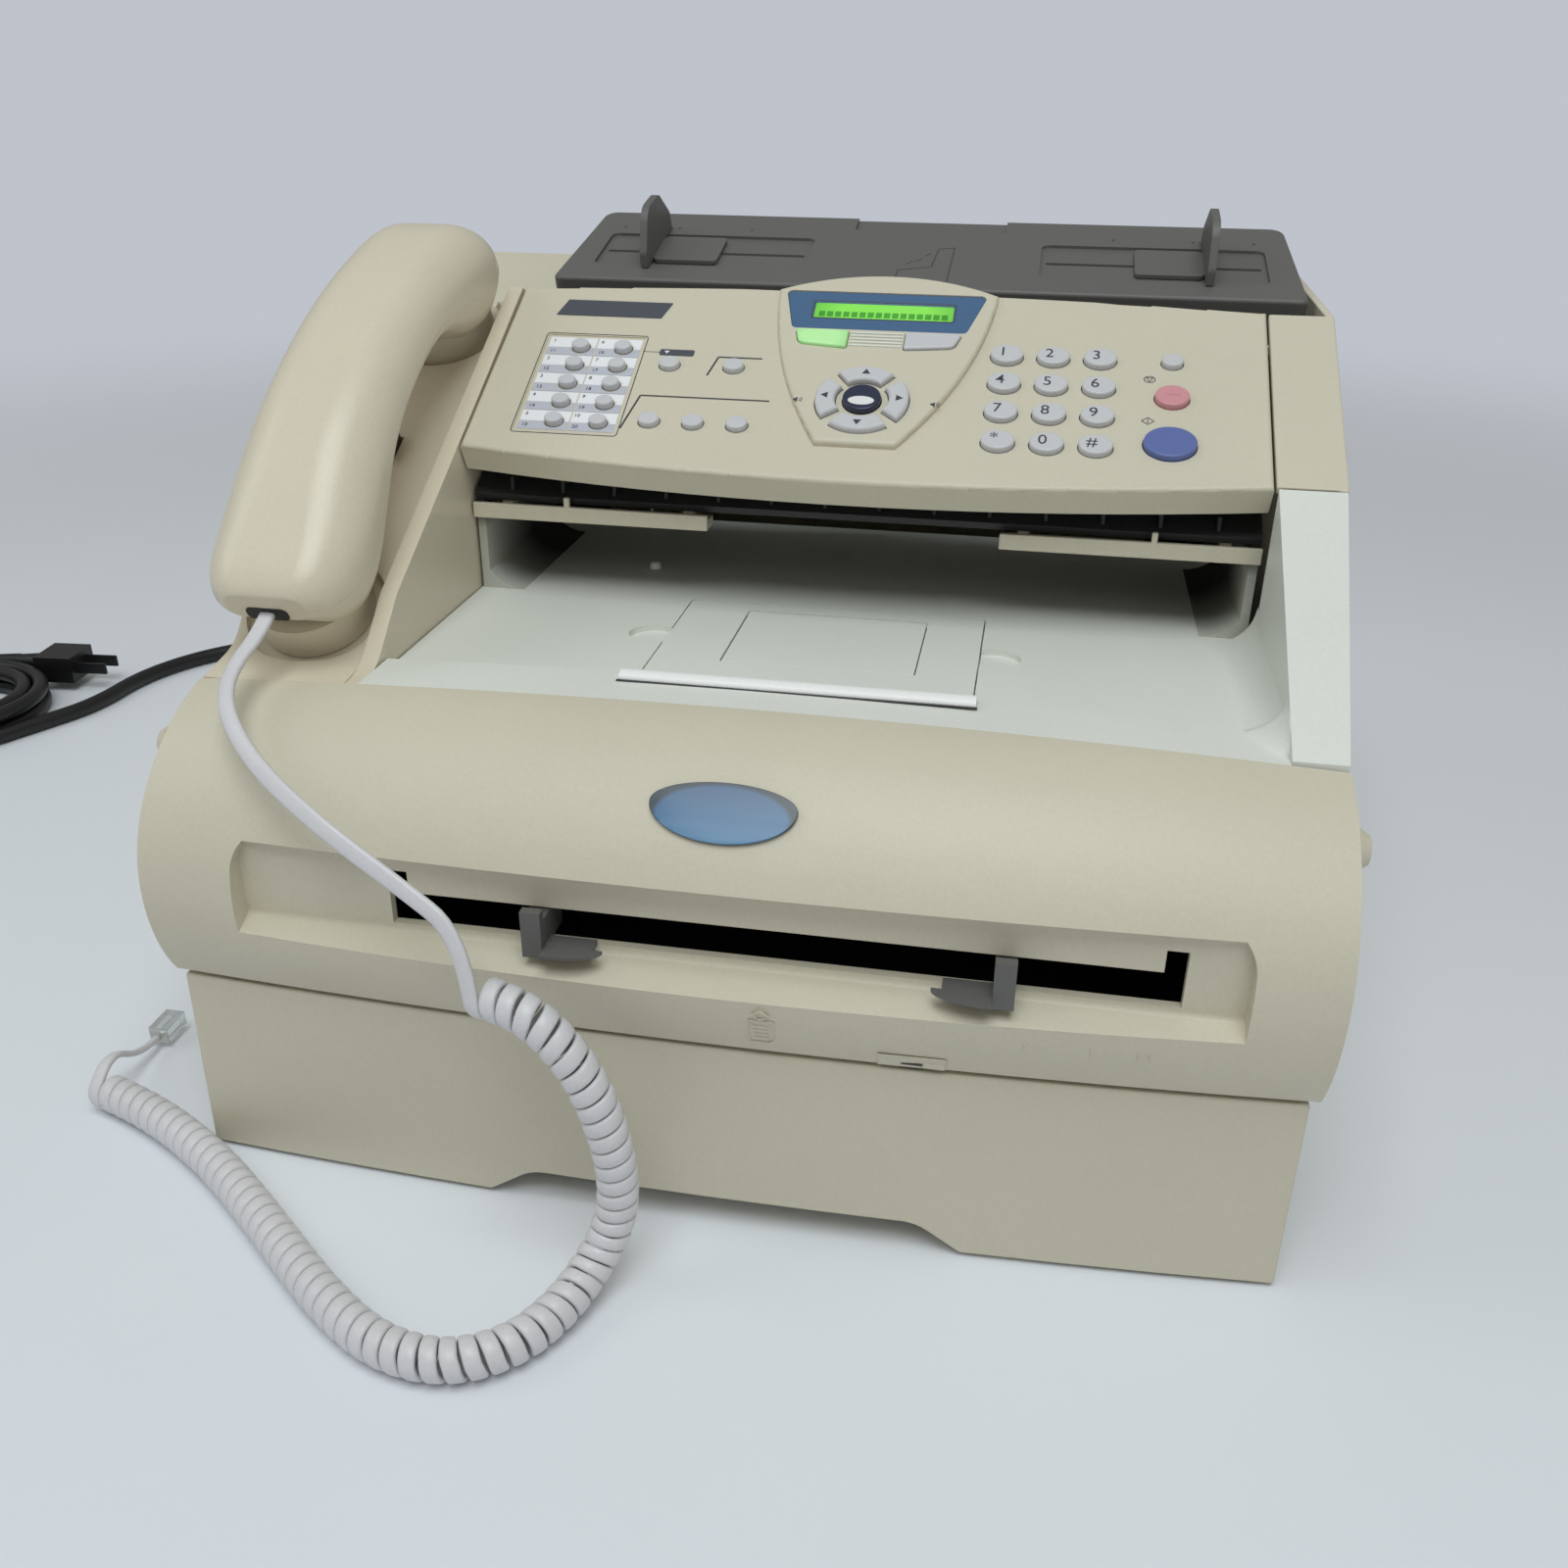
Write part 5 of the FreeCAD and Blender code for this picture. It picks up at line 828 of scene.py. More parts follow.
for index, digit in enumerate(DIGITS):
    x, v = DIGIT_X + DIGIT_STEP_X * (index % 3), DIGIT_V - DIGIT_STEP_V * (index // 3)
    key = DIGIT_NAMES.get(digit, digit)
    finished("digit_" + key, text_mesh(digit, DIGIT_HIGH, x, v, KEY_TOP), INK, "key_" + key)
print("numbers on", len(DIGITS), "keys")

# %% Card numbers
card_build = bmesh.new()
for column, x in enumerate(CARD_TEXT_X):
    for row in range(CARD_ROWS):
        low = CARD_LOW + CARD_PITCH * (CARD_ROWS - 1 - row)
        number = 1 + row + CARD_ROWS * column
        for words, shift, up in ((number, 0.0, UPPER_V), (number + 10, LOWER_SHIFT, LOWER_V)):
            mesh = text_mesh(str(words), CARD_TEXT_HIGH, x + shift, low + up, CARD_N + INK_THICK + TEXT_CLEAR)
            card_build.from_mesh(mesh)
            bpy.data.meshes.remove(mesh)
card_text = bpy.data.meshes.new("card_numbers")
card_build.to_mesh(card_text)
card_build.free()
finished("card_numbers", card_text, INK, "panel")
print("card numbers:", len(card_text.polygons), "faces")

# %% [markdown]
# ## Rows of small bars
#
# Ridges, display cells and contacts are rows of equal bars. One Geometry Nodes tree makes them all: a
# line of points, a bar on each point, then realised and given its material.

# %% Row tree


def real_copies(tree, start, spread, end):
    """Last nodes of a tree of copies: real faces with their finish."""
    real = add(tree, "GeometryNodeRealizeInstances")
    paint = add(tree, "GeometryNodeSetMaterial")
    wire(tree, (spread, "Instances", real, "Geometry"), (real, "Geometry", paint, "Geometry"),
         (start, "Finish", paint, "Material"), (paint, "Geometry", end, 0))


def make_row_tree():
    """Row of bars with named inputs for number, start, step, size and turn."""
    tree, start, end = node_group("row_of_bars", "GeometryNodeTree", {
        "Count": "Int", "Start": "Vector", "Step": "Vector", "Size": "Vector", "Turn": "Vector",
        "Finish": "Material"}, {"Bars": "Geometry"})
    line = add(tree, "GeometryNodeMeshLine", mode="OFFSET")
    brick = add(tree, "GeometryNodeMeshCube")
    lean = add(tree, "FunctionNodeEulerToRotation")
    spread = add(tree, "GeometryNodeInstanceOnPoints")
    wire(tree, (start, "Count", line, "Count"), (start, "Start", line, "Start Location"),
         (start, "Step", line, "Offset"), (start, "Size", brick, "Size"), (start, "Turn", lean, 0),
         (line, "Mesh", spread, "Points"), (brick, "Mesh", spread, "Instance"), (lean, 0, spread, "Rotation"))
    real_copies(tree, start, spread, end)
    return tree


def grown_piece(name, body, tree, points=(), **values):
    """Plain mesh that a tree makes, on points in metres if it needs them, with its inputs set by name."""
    piece = place_object(name, bpy.data.meshes.new(name))
    piece.data.from_pydata(points, [], [])
    made = modify(piece, "grown", "NODES", node_group=tree)
    for label, value in values.items():
        made[tree.interface.items_tree[label].identifier] = value
    apply_all(piece)
    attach(piece, body)
    return piece


ROW_TREE = make_row_tree()
print("row tree:", ROW_TREE.name)

# %% Rows


def row_of_bars(name, body, count, start, step, size, finish, turn_x=0.0):
    """Row of bars, given in metres in the frame."""
    grown_piece(name, body, ROW_TREE, Count=count, Start=start, Step=step, Size=size, Turn=(turn_x, 0.0, 0.0),
                Finish=finish)


def slope_row(name, count, first, step, size, finish):
    """Row of bars on the panel, given in millimetres on the slope."""
    start = slope_matrix() @ Vector(first)
    stride = slope_matrix() @ (Vector(first) + Vector(step)) - start
    row_of_bars(name, "panel", count, tuple(start), tuple(stride), tuple(c * MM for c in size), finish, SLOPE_CLIMB)


slope_row("mode_ridges", 5, (19.4, 168.4, SHIELD_HIGH + 0.15), (0, 1.75, 0), (19.0, 0.7, 0.5), FINISH["tray"])
print("ridges ready")

# %% [markdown]
# ## Display
#
# The window glows green and holds a line of darker character cells. A soft gradient keeps the glow
# brightest in the middle, as behind a real edge-lit display.

# %% Fades


def round_fade(tree, centre, reach):
    """Gradient from 1 at a centre to 0 at its reach, in metres. A reach of 0 leaves that axis out."""
    scale = [1 / r if r else 0.0 for r in reach]
    place = add(tree, "ShaderNodeTexCoord")
    shift = add(tree, "ShaderNodeMapping", Scale=scale, Location=[-c * s for c, s in zip(centre, scale)])
    fade = add(tree, "ShaderNodeTexGradient", gradient_type="SPHERICAL")
    wire(tree, (place, "Object", shift, "Vector"), (shift, "Vector", fade, "Vector"))
    return fade


def axis_fade(tree, axis, none, full):
    """Fade along an axis from 0 at one place to 1 at another, in metres."""
    place = add(tree, "ShaderNodeTexCoord")
    split = add(tree, "ShaderNodeSeparateXYZ")
    fade = add(tree, "ShaderNodeMapRange", From_Min=none, From_Max=full)
    wire(tree, (place, "Object", split, 0), (split, axis, fade, "Value"))
    return fade


print("fades ready")

# %% Display
WINDOW = (-5.5, 184.5, 45.7, 193.1)
WINDOW_N = SHIELD_HIGH - 0.9
WINDOW_REACH, MODE_KEY_REACH = (0.04, 0.02, 0.02), (0.016, 0.012, 0.012)


def glowing(name, middle, edge, centre, reach, strength):
    """Lit plastic whose colour falls off from a centre on the slope."""
    material = plastic(name, middle, 0.25, depth=0.0, drift=0.02)
    tree = material.node_tree
    shader = give(tree.nodes["Principled BSDF"], Emission_Strength=strength)
    ramp = add(tree, "ShaderNodeValToRGB")
    outer, inner = ramp.color_ramp.elements
    outer.color, inner.color, inner.position = linear(edge), linear(middle), 0.6
    fade = round_fade(tree, slope_matrix() @ Vector(centre), reach)
    wire(tree, (fade, "Fac", ramp, "Fac"), (ramp, "Color", shader, "Base Color"),
         (ramp, "Color", shader, "Emission Color"))
    return material


window_middle = (20.0, 189.0, WINDOW_N)
LCD_GREEN = glowing("display_green", "#8DE85A", "#3F9A2C", window_middle, WINDOW_REACH, 0.12)
LCD_CELL = glowing("display_cell", "#4FA83A", "#2C7A26", window_middle, WINDOW_REACH, 0.05)
printed("display_window", [rounded(*WINDOW, 0.6)], LCD_GREEN, WINDOW_N, 0.1)
slope_row("display_cells", 16, (-2.6, 186.9, WINDOW_N + 0.12), (3.02, 0, 0), (2.3, 3.0, 0.06), LCD_CELL)
MODE_GREEN = glowing("mode_green", "#B9EFA6", "#8FCB80", (-1.0, 171.5, 3.6), MODE_KEY_REACH, 0.12)
nodes["fax_mode_key"].data.materials[0] = MODE_GREEN
printed("display_rim", ring(rounded(-6.2, 183.8, 46.4, 193.8, 1.0), 0.5), SLATE, SHIELD_HIGH - 0.4)
print("display ready")

# %% [markdown]
# ## Front cover
#
# The front is bowed in two directions, so a mark on it can't be placed by a formula. A ray shot at
# the piece finds the surface, and the mark is laid on the point and normal that it hits.

# %% Surface finder
SURFACES = {}
RAY_FAR = 300.0


def touch(node, start, way):
    """Point and normal, in millimetres, where a ray meets a frame piece."""
    if node not in SURFACES:
        mesh = nodes[node].data
        SURFACES[node] = BVHTree.FromPolygons([v.co / MM for v in mesh.vertices],
                                              [p.vertices[:] for p in mesh.polygons])
    return SURFACES[node].ray_cast(Vector(start), Vector(way))[:2]


def height_at(node, x, y):
    """Height of a frame piece at a place, met from above."""
    return touch(node, (x, y, RAY_FAR), (0, 0, -1))[0].z


def surface_matrix(node, start, way):
    """Matrix that lays the flat XY plane, in millimetres, on a piece where a ray meets it."""
    point, normal = touch(node, start, way)
    across = Vector((0, 0, 1)).cross(normal).normalized()
    return TO_METRES @ Matrix.Translation(point) @ axes_matrix(across, normal.cross(across), normal)


def on_front(name, shapes, x, z, thick):
    """Plates on the front cover, in its own finish."""
    lay = surface_matrix("front_cover", (x, -RAY_FAR, z), (0, 1, 0))
    plates(name, shapes, FINISH["housing"], "front_cover", lay, thick)


print("surface finder ready")

# %% Front marks
PAPER_MIDDLE = 17.0
TICK_OFFSETS, TICK_Z, PAGE_Z = (74.0, 92.1, 105.0, 108.0), 84.0, 80.5
PAGE_LINE = 0.45
for index, offset in enumerate(TICK_OFFSETS):
    on_front("paper_tick_%d" % index, [bar(-0.35, -1.6, 0.35, 1.6)], PAPER_MIDDLE + offset, TICK_Z, 0.3)
page = ring([(-3.6, -7.0), (2.0, -7.0), (3.6, -5.4), (3.6, 3.6), (-3.6, 3.6)], PAGE_LINE)
page += ring([(-1.2, 4.6), (1.2, 4.6), (1.2, 6.0), (2.6, 6.0), (0.0, 8.6), (-2.6, 6.0), (-1.2, 6.0)], PAGE_LINE)
page += [bar(-2.2, v, 2.2, v + 0.5) for v in (-4.8, -2.9, -1.0, 0.9)]
on_front("page_sign", page, PAPER_MIDDLE, PAGE_Z, 0.25)
print("front ticks:", len(TICK_OFFSETS))

# %% [markdown]
# The front cover turns on two hinges in its lower edge. A thin lip on the cover closes the view of
# their knuckles from the front. The ray meets the cover beside the gap.

# %% Hinge lips
HINGES_X, LIP_Z, LIP_ASIDE, LIP_HALF_X, LIP_HALF_Z = (-60.0, 60.0), 71.6, 12.0, 9.8, 3.8
lip = rounded(-LIP_ASIDE - LIP_HALF_X, -LIP_HALF_Z, -LIP_ASIDE + LIP_HALF_X, LIP_HALF_Z, 0.3)
for index, x in enumerate(HINGES_X):
    on_front("hinge_lip_%d" % index, [lip], x + LIP_ASIDE, LIP_Z, 0.14)
print("hinge lips:", len(HINGES_X))

# %% [markdown]
# The badge is a bare domed lens: deep blue, lighter towards its lower edge, with a dark rim. A
# gradient along its height paints the light inside the dome, and a coat gives the gloss.

# %% Badge
badge_low, badge_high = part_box("front_badge")


def lens_blue():
    """Coated blue with painted light that lightens it from the top of the badge to its bottom."""
    material = plastic("badge_lens", "#4E7FA8", 0.3, depth=0.0, coat=0.25)
    tree = material.node_tree
    ramp = add(tree, "ShaderNodeValToRGB")
    bottom, top = ramp.color_ramp.elements
    bottom.color, top.color = linear("#5F8DB0"), linear("#2A5077")
    ramp.color_ramp.elements.new(0.45).color = linear("#3C6C94")
    half = (badge_high - badge_low) / 2
    inside = round_fade(tree, badge_low + half, (half.x, 0.0, half.z))
    rim = add(tree, "ShaderNodeMapRange", From_Min=0.05, From_Max=0.13)
    edge = add(tree, "ShaderNodeMix", data_type="RGBA", at_6=linear("#1E2C3A"))
    wire(tree, (axis_fade(tree, "Z", badge_low.z, badge_high.z), "Result", ramp, "Fac"),
         (inside, "Fac", rim, "Value"), (rim, "Result", edge, 0), (ramp, "Color", edge, 7),
         (edge, 2, tree.nodes["Principled BSDF"], "Base Color"))
    return material


nodes["front_badge"].data.materials[0] = lens_blue()
print("badge from z %.1f to %.1f mm" % (badge_low.z / MM, badge_high.z / MM))

# %% [markdown]
# ## Output tray
#
# The paper stop folds flat into the tray. A bar in front of it, paler than the rest, lies on the
# tray's front lip, with a black strip of painted shade before it for the dark gap.

# %% Paper stop
PALE_BAR = plastic("stop_bar_white", "#F1F1EE", 0.42, depth=0.08)
BAR_Y, BAR_WIDE, BAR_HIGH, BAR_SHORTER = -112.8, 6.6, 2.2, 0.5
SHADE_STRIP_WIDE, SHADE_STRIP_HIGH, LIP_SUNK = 1.2, 0.14, 0.1
ALONG_X = axes_matrix((0, 1, 0), (0, 0, 1), (1, 0, 0))


def laid(x, y, z, turn=Matrix()):
    """Matrix from millimetres on a turned plane at a point to metres in the frame."""
    return TO_METRES @ Matrix.Translation((x, y, z)) @ turn


flap_low, flap_high = (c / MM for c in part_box("output_flap"))
bar_length = flap_high.x - flap_low.x - 2 * BAR_SHORTER
lip_z = height_at("top_cover", 0.0, BAR_Y) - LIP_SUNK
plates("paper_stop_bar", [arc(0, 0, BAR_WIDE / 2, BAR_HIGH, 0, 180, 12)], PALE_BAR, "chassis",
       laid(flap_low.x + BAR_SHORTER, BAR_Y, lip_z, ALONG_X), bar_length)
# A black strip of painted shade before the bar, where the gap lies in shadow.
bar_front_y = BAR_Y - BAR_WIDE / 2
plates("paper_stop_gap", [bar(flap_low.x, bar_front_y - SHADE_STRIP_WIDE, flap_high.x, bar_front_y)], FINISH["chassis_black"],
       "chassis", laid(0, 0, lip_z), SHADE_STRIP_HIGH)
print("paper stop bar %.0f mm long" % bar_length)

# %% [markdown]
# A cove joins the tray's floor to the wall on its right. At the front it closes in a round corner: its
# radius shrinks along a quarter circle, and the slope of the shoulder cuts it off above.

# %% Tray corner
COVE_X, COVE_Y, COVE_RADIUS, COVE_SUNK = 158.42, -107.4, 14.0, 0.42
CORNER_LONG, CORNER_STEPS, CORNER_INTO = 18.0, 14, 0.4


def cove_section(y, radius):
    """Points of the cove across the tray at one place along it, from the floor up to the wall."""
    low_z = height_at("top_cover", COVE_X - radius - 1.0, y) - COVE_SUNK
    top_z = height_at("top_cover", COVE_X + 2.0, y) - 0.1
    last = math.degrees(math.acos(max(0.0, 1.0 - (top_z - low_z) / radius)))
    curve = arc(COVE_X - radius, low_z + radius, radius, radius, -90, last - 90, CORNER_STEPS)
    under = low_z - CORNER_INTO
    section = [(COVE_X + CORNER_INTO, under), (COVE_X - radius, under)] + curve
    return [(x, y, z) for x, z in section + [(COVE_X + CORNER_INTO, curve[-1][1])]]


corner_build = bmesh.new()
corner_loops = []
for along, radius in arc(0, 0, CORNER_LONG, COVE_RADIUS, 90, 0, CORNER_STEPS):
    section = cove_section(COVE_Y - along, radius + 0.05)
    corner_loops.append([corner_build.verts.new(p) for p in section])
for face in closed_skin(corner_build, corner_loops):
    face.smooth = True
mesh_piece("tray_corner", corner_build, FINISH["tray"], "chassis")
print("tray corner:", len(corner_loops), "sections")

# %% [markdown]
# The coves at the two ends of the chute are nearly as pale as the tray at the front. Painted shade
# takes them to black inwards and upwards. The ends of these fades are in metres, the pale one first.

# %% Chute ends
CHUTE_SHADE_ENDS = {"Y": (-0.022, 0.024), "Z": (0.173, 0.179)}
CHUTE_SHADE_BLACK, CHUTE_FRONT = "#2B2B2D", "#B9BAB0"


def fading_black():
    """Pale tone low down at the front, with painted shade in chassis black further in and higher up."""
    material = plastic("chute_fading_black", CHUTE_SHADE_BLACK, 0.55)
    tree = material.node_tree
    both = add(tree, "ShaderNodeMath", operation="MULTIPLY")
    blend = add(tree, "ShaderNodeMix", data_type="RGBA", at_6=linear(CHUTE_SHADE_BLACK), at_7=linear(CHUTE_FRONT))
    for slot, (axis, (pale, dark)) in enumerate(CHUTE_SHADE_ENDS.items()):
        wire(tree, (axis_fade(tree, axis, dark, pale), "Result", both, slot))
    wire(tree, (both, 0, blend, 0), (blend, 2, tree.nodes["tone"], "Color"))
    return material


nodes["document_chute"].data.materials[0] = fading_black()
print("chute ends fade over %.0f mm" % ((CHUTE_SHADE_ENDS["Y"][1] - CHUTE_SHADE_ENDS["Y"][0]) / MM))

# %% [markdown]
# The documents come out over two bars under the panel. From a small nib inwards each bar is lower and
# carries a white strip. A round nib stands on the tray's floor.

# %% Exit strips and nib
EXIT_TOP, STRIP_Y, STRIPS_X, STRIP_HIGH = 181.1, (-26.2, -24.0), ((-83.0, -34.0), (70.5, 119.5)), 0.3
NIB_AT, NIB_RADIUS, NIB_HIGH = Vector((-63.5, 10.6, 149.9)), 2.2, 2.6
DOME_LOOPS = ((1.0, 0.0), (1.0, 0.35), (0.86, 0.75), (0.55, 0.95))


def dome(place, out, radius, high, sides):
    """Round head that rises from a place along a direction, as loops of given width and height."""
    build = bmesh.new()
    across = out.orthogonal().normalized()
    rise = out.cross(across)
    loops = []
    for share, lift in DOME_LOOPS:
        loops.append([build.verts.new(place + out * high * lift + (across * u + rise * w) * radius * share)
                      for u, w in ellipse(0, 0, 1, 1, sides)])
    closed_skin(build, loops)
    return build


strips = [bar(x0, STRIP_Y[0], x1, STRIP_Y[1]) for x0, x1 in STRIPS_X]
plates("exit_strips", strips, PALE_BAR, "chassis", laid(0, 0, EXIT_TOP), STRIP_HIGH)
mesh_piece("tray_nib", dome(NIB_AT, Vector((0, 0, 1)), NIB_RADIUS, NIB_HIGH, 20), PALE_BAR, "chassis")
print("exit strips:", len(strips))

# %% [markdown]
# ## Document tray
#
# Each width guide runs in a slot, whose floor is a dark plate of painted shade, and small ticks mark
# the usual paper widths. The plane of the tray climbs to the back at 15.8 degrees.

# %% Document tray marks
TRAY_AT, TRAY_CLIMB, SCAN_MIDDLE = Vector((0.0, 60.5, 251.4)), math.radians(15.8), 29.0
TRAY_TURN = Matrix.Translation(TRAY_AT) @ Matrix.Rotation(TRAY_CLIMB, 4, "X")
SLOT_FROM, SLOT_TO, SLOT_LOW, SLOT_HIGH, SLOT_SUNK = 48.0, 130.0, 29.0, 31.0, 1.2
TICK_HALVES, TICK_BASE, TICK_POINT, TICK_HALF = (74.0, 105.0, 108.0, 128.5), 53.5, 51.2, 0.9
MARK_HIGH, SIGN_LINE = 0.06, 0.6
PAINTED_SHADE_GREY = plastic("slot_shadow", "#2E2D2C", 0.7, depth=0.0)
TICK_GREY = plastic("tick_grey", "#4A4845", 0.6, depth=0.0)


def on_tray(name, shapes, finish, n=0.0):
    """Thin plates on the plane of the document tray."""
    plates(name, shapes, finish, "chassis", TO_METRES @ TRAY_TURN @ Matrix.Translation((0, 0, n)), MARK_HIGH)


slots, ticks = [], []
for side in (-1, 1):
    edges = sorted((SCAN_MIDDLE + side * SLOT_FROM, SCAN_MIDDLE + side * SLOT_TO))
    slots.append(rounded(edges[0], SLOT_LOW, edges[1], SLOT_HIGH, 0.9))
    for half in TICK_HALVES:
        x = SCAN_MIDDLE + side * half
        ticks.append([(x - TICK_HALF, TICK_BASE), (x + TICK_HALF, TICK_BASE), (x, TICK_POINT)])
# Dark plates sunk in the slots are painted shade.
on_tray("guide_slots", slots, PAINTED_SHADE_GREY, -SLOT_SUNK)
on_tray("width_ticks", ticks, TICK_GREY)
stairs = stroke([(20.1, 8.3), (20.1, 16.6), (33.0, 20.6), (34.3, 38.7), (40.6, 40.2), (40.1, 6.6)], SIGN_LINE)
for x, v in ((24.0, 24.1), (27.6, 27.3), (30.6, 32.5)):
    stairs += stroke([(x - 1.0, v - 1.4), (x + 1.0, v + 1.4)], SIGN_LINE)
on_tray("stack_sign", stairs, TICK_GREY)
print("tray slots:", len(slots), "ticks:", len(ticks))

# %% [markdown]
# ## Manual slot
#
# Each width guide carries a flat tongue along the bottom of the slot, a quarter of an oval that
# narrows away from the guide.

# %% Guide tongues
TONGUE_LONG, TONGUE_DEEP, TONGUE_HIGH = 17.0, 6.0, 1.0
TONGUE_ROOT = Vector((6.0, 3.0, 1.9))
for side, node in ((1, "manual_guide_left"), (-1, "manual_guide_right")):
    low, high = (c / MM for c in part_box(node))
    root = (low.x if side > 0 else high.x) + side * TONGUE_ROOT.x
    tongue = [(0.0, 0.0)] + arc(0, 0, side * TONGUE_LONG, TONGUE_DEEP, -90, 0, 12)
    plates(node + "_tongue", [tongue], FINISH["dark_grey"], node,
           laid(root, low.y + TONGUE_ROOT.y, low.z + TONGUE_ROOT.z), TONGUE_HIGH)
print("tongues %.0f mm long" % TONGUE_LONG)

# %% [markdown]
# ## Handset
#
# The lead leaves the handset through a dark socket at its lower end. On the side that lies in the
# cradle, holes in front of the earpiece and slots in front of the microphone are thin dark plates of
# painted shade.

# %% Handset openings
HANDSET_X, EAR_V, MOUTH_V, SOCKET_AT = -151.0, 186.0, 34.0, (-151.0, 14.3, 14.0)
HOLE_RADIUS, HOLE_RINGS, HOLE_THICK = 0.9, ((3.4, 6), (6.8, 12)), 0.04
# Black for the lead socket, and painted shade for the openings and the backs of the line sockets.
BLACK_AND_HOLE_SHADE = plastic("socket_dark", "#1C1C1E", 0.6, depth=0.0)
FACE_OUT = axes_matrix((1, 0, 0), (0, 0, 1), (0, -1, 0))
plates("lead_socket", [rounded(-7.0, -2.4, 7.0, 2.6, 2.0)], BLACK_AND_HOLE_SHADE, "handset",
       slope_matrix(*SOCKET_AT) @ FACE_OUT, 0.6)


def under_handset(name, shapes, v):
    """Dark plates of painted shade for openings on the lower side of the handset, at a distance up the slope."""
    start = TO_METRES.inverted() @ (slope_matrix(HANDSET_X, v, -80.0) @ Vector())
    plates(name, shapes, BLACK_AND_HOLE_SHADE, "handset", surface_matrix("handset_body", start, SLOPE_UP), HOLE_THICK)


hole_places = [(0, 0)]
for radius, count in HOLE_RINGS:
    hole_places += ellipse(0, 0, radius, radius, count)
under_handset("earpiece_holes", [ellipse(x, v, HOLE_RADIUS, HOLE_RADIUS, 12) for x, v in hole_places], EAR_V)
under_handset("microphone_slots", [rounded(-4.0, v, 4.0, v + 1.2, 0.6) for v in (-2.6, -0.6, 1.4)], MOUTH_V)
print("earpiece holes:", len(hole_places))

# %% [markdown]
# ## Back of the machine
#
# The back carries a pair of line sockets and a few screws. A screw head is made once, with its cross
# cut by a boolean, and a Geometry Nodes tree puts it on each point of a small mesh.

# %% Screw head
HEAD_RADIUS, HEAD_HIGH, CROSS_LONG, CROSS_WIDE, CROSS_FROM = 3.2, 1.1, 2.0, 0.4, 0.35
FROM_BEHIND = axes_matrix((-1, 0, 0), (0, 0, 1), (0, 1, 0))
SCREW_STEEL, steel_tree, steel_shader = new_material("screw_steel")
give(steel_shader, Metallic=1.0)
add_tone(steel_tree, steel_shader, Color=(0.5, 0.5, 0.52, 1.0), Drift=0.3, Roughness=0.35)


def screw_head():
    """One head with a cross recess, about the origin, that rises along Y."""
    build = dome(Vector(), Vector((0, 1, 0)), HEAD_RADIUS, HEAD_HIGH, 24)
    head = mesh_piece("screw_head", build, SCREW_STEEL, "chassis")
    for x, z in ((CROSS_LONG, CROSS_WIDE), (CROSS_WIDE, CROSS_LONG)):
        cut_out(head, plates("cross", [bar(-x, -z, x, z)], SCREW_STEEL, "chassis",
                             laid(0, HEAD_HIGH * CROSS_FROM, 0, FROM_BEHIND), HEAD_HIGH))
    return head


one_head = screw_head()
print("screw head:", len(one_head.data.polygons), "faces")

# %% Screws
SCREWS_X, SCREWS_Z = (-168.0, 168.0), (24.0, 140.0)


def make_point_tree():
    """A given object on each point of a mesh, as real faces."""
    tree, start, end = node_group("heads_on_points", "GeometryNodeTree", {
        "Points": "Geometry", "Head": "Object", "Finish": "Material"}, {"Heads": "Geometry"})
    model = add(tree, "GeometryNodeObjectInfo")
    spread = add(tree, "GeometryNodeInstanceOnPoints")
    wire(tree, (start, "Head", model, "Object"), (start, "Points", spread, "Points"),
         (model, "Geometry", spread, "Instance"))
    real_copies(tree, start, spread, end)
    return tree


screw_points = [touch("rear_cover", (x, RAY_FAR, z), (0, -1, 0))[0] for x in SCREWS_X for z in SCREWS_Z]
grown_piece("back_screws", "chassis", make_point_tree(), [tuple(p * MM) for p in screw_points], Head=one_head,
            Finish=SCREW_STEEL)
bpy.data.objects.remove(one_head)
print("screws at", [[round(c, 1) for c in p] for p in screw_points])

# %% Line sockets
JACK_X, JACK_Z, JACK_BACK, JACK_DEEP, BOTTOM_THICK = -134.6, 66.6, 186.0, 9.0, 0.6
JACK_WIDE, JACK_HIGH, SILL, LINTEL, STEP_HIGH, FRONT_IN = 24.8, 12.8, 0.8, 11.6, 2.6, 0.4
JACK_WALLS = ((0.0, 1.2), (11.4, 13.4), (23.6, 24.8))
JACK_STEPS = ((1.2, 4.6), (8.0, 11.4), (13.4, 16.8), (20.2, 23.6))
CONTACTS_X, CONTACT_Y, CONTACT_Z, CONTACT_LEAN = (-4.4, -16.6), -5.6, 8.6, math.radians(-28.0)
CONTACT_STEP, CONTACT_SIZE = (-1.27 * MM, 0, 0), (0.45 * MM, 6.0 * MM, 0.45 * MM)
JACK_GREY = plastic("jack_grey", "#8B8A86", 0.45, depth=0.05)
CONTACT_GOLD = plastic("contact_gold", "#C9A24A", 0.25, depth=0.0, coat=0.3)
jack_bars = [bar(0.0, 0.0, JACK_WIDE, SILL), bar(0.0, LINTEL, JACK_WIDE, JACK_HIGH)]
jack_bars += [bar(x0, SILL, x1, LINTEL) for x0, x1 in JACK_WALLS]
jack_bars += [bar(x0, SILL, x1, STEP_HIGH) for x0, x1 in JACK_STEPS]
plates("line_sockets", jack_bars, JACK_GREY, "chassis",
       laid(JACK_X, JACK_BACK - JACK_DEEP, JACK_Z, FROM_BEHIND), JACK_DEEP - FRONT_IN)
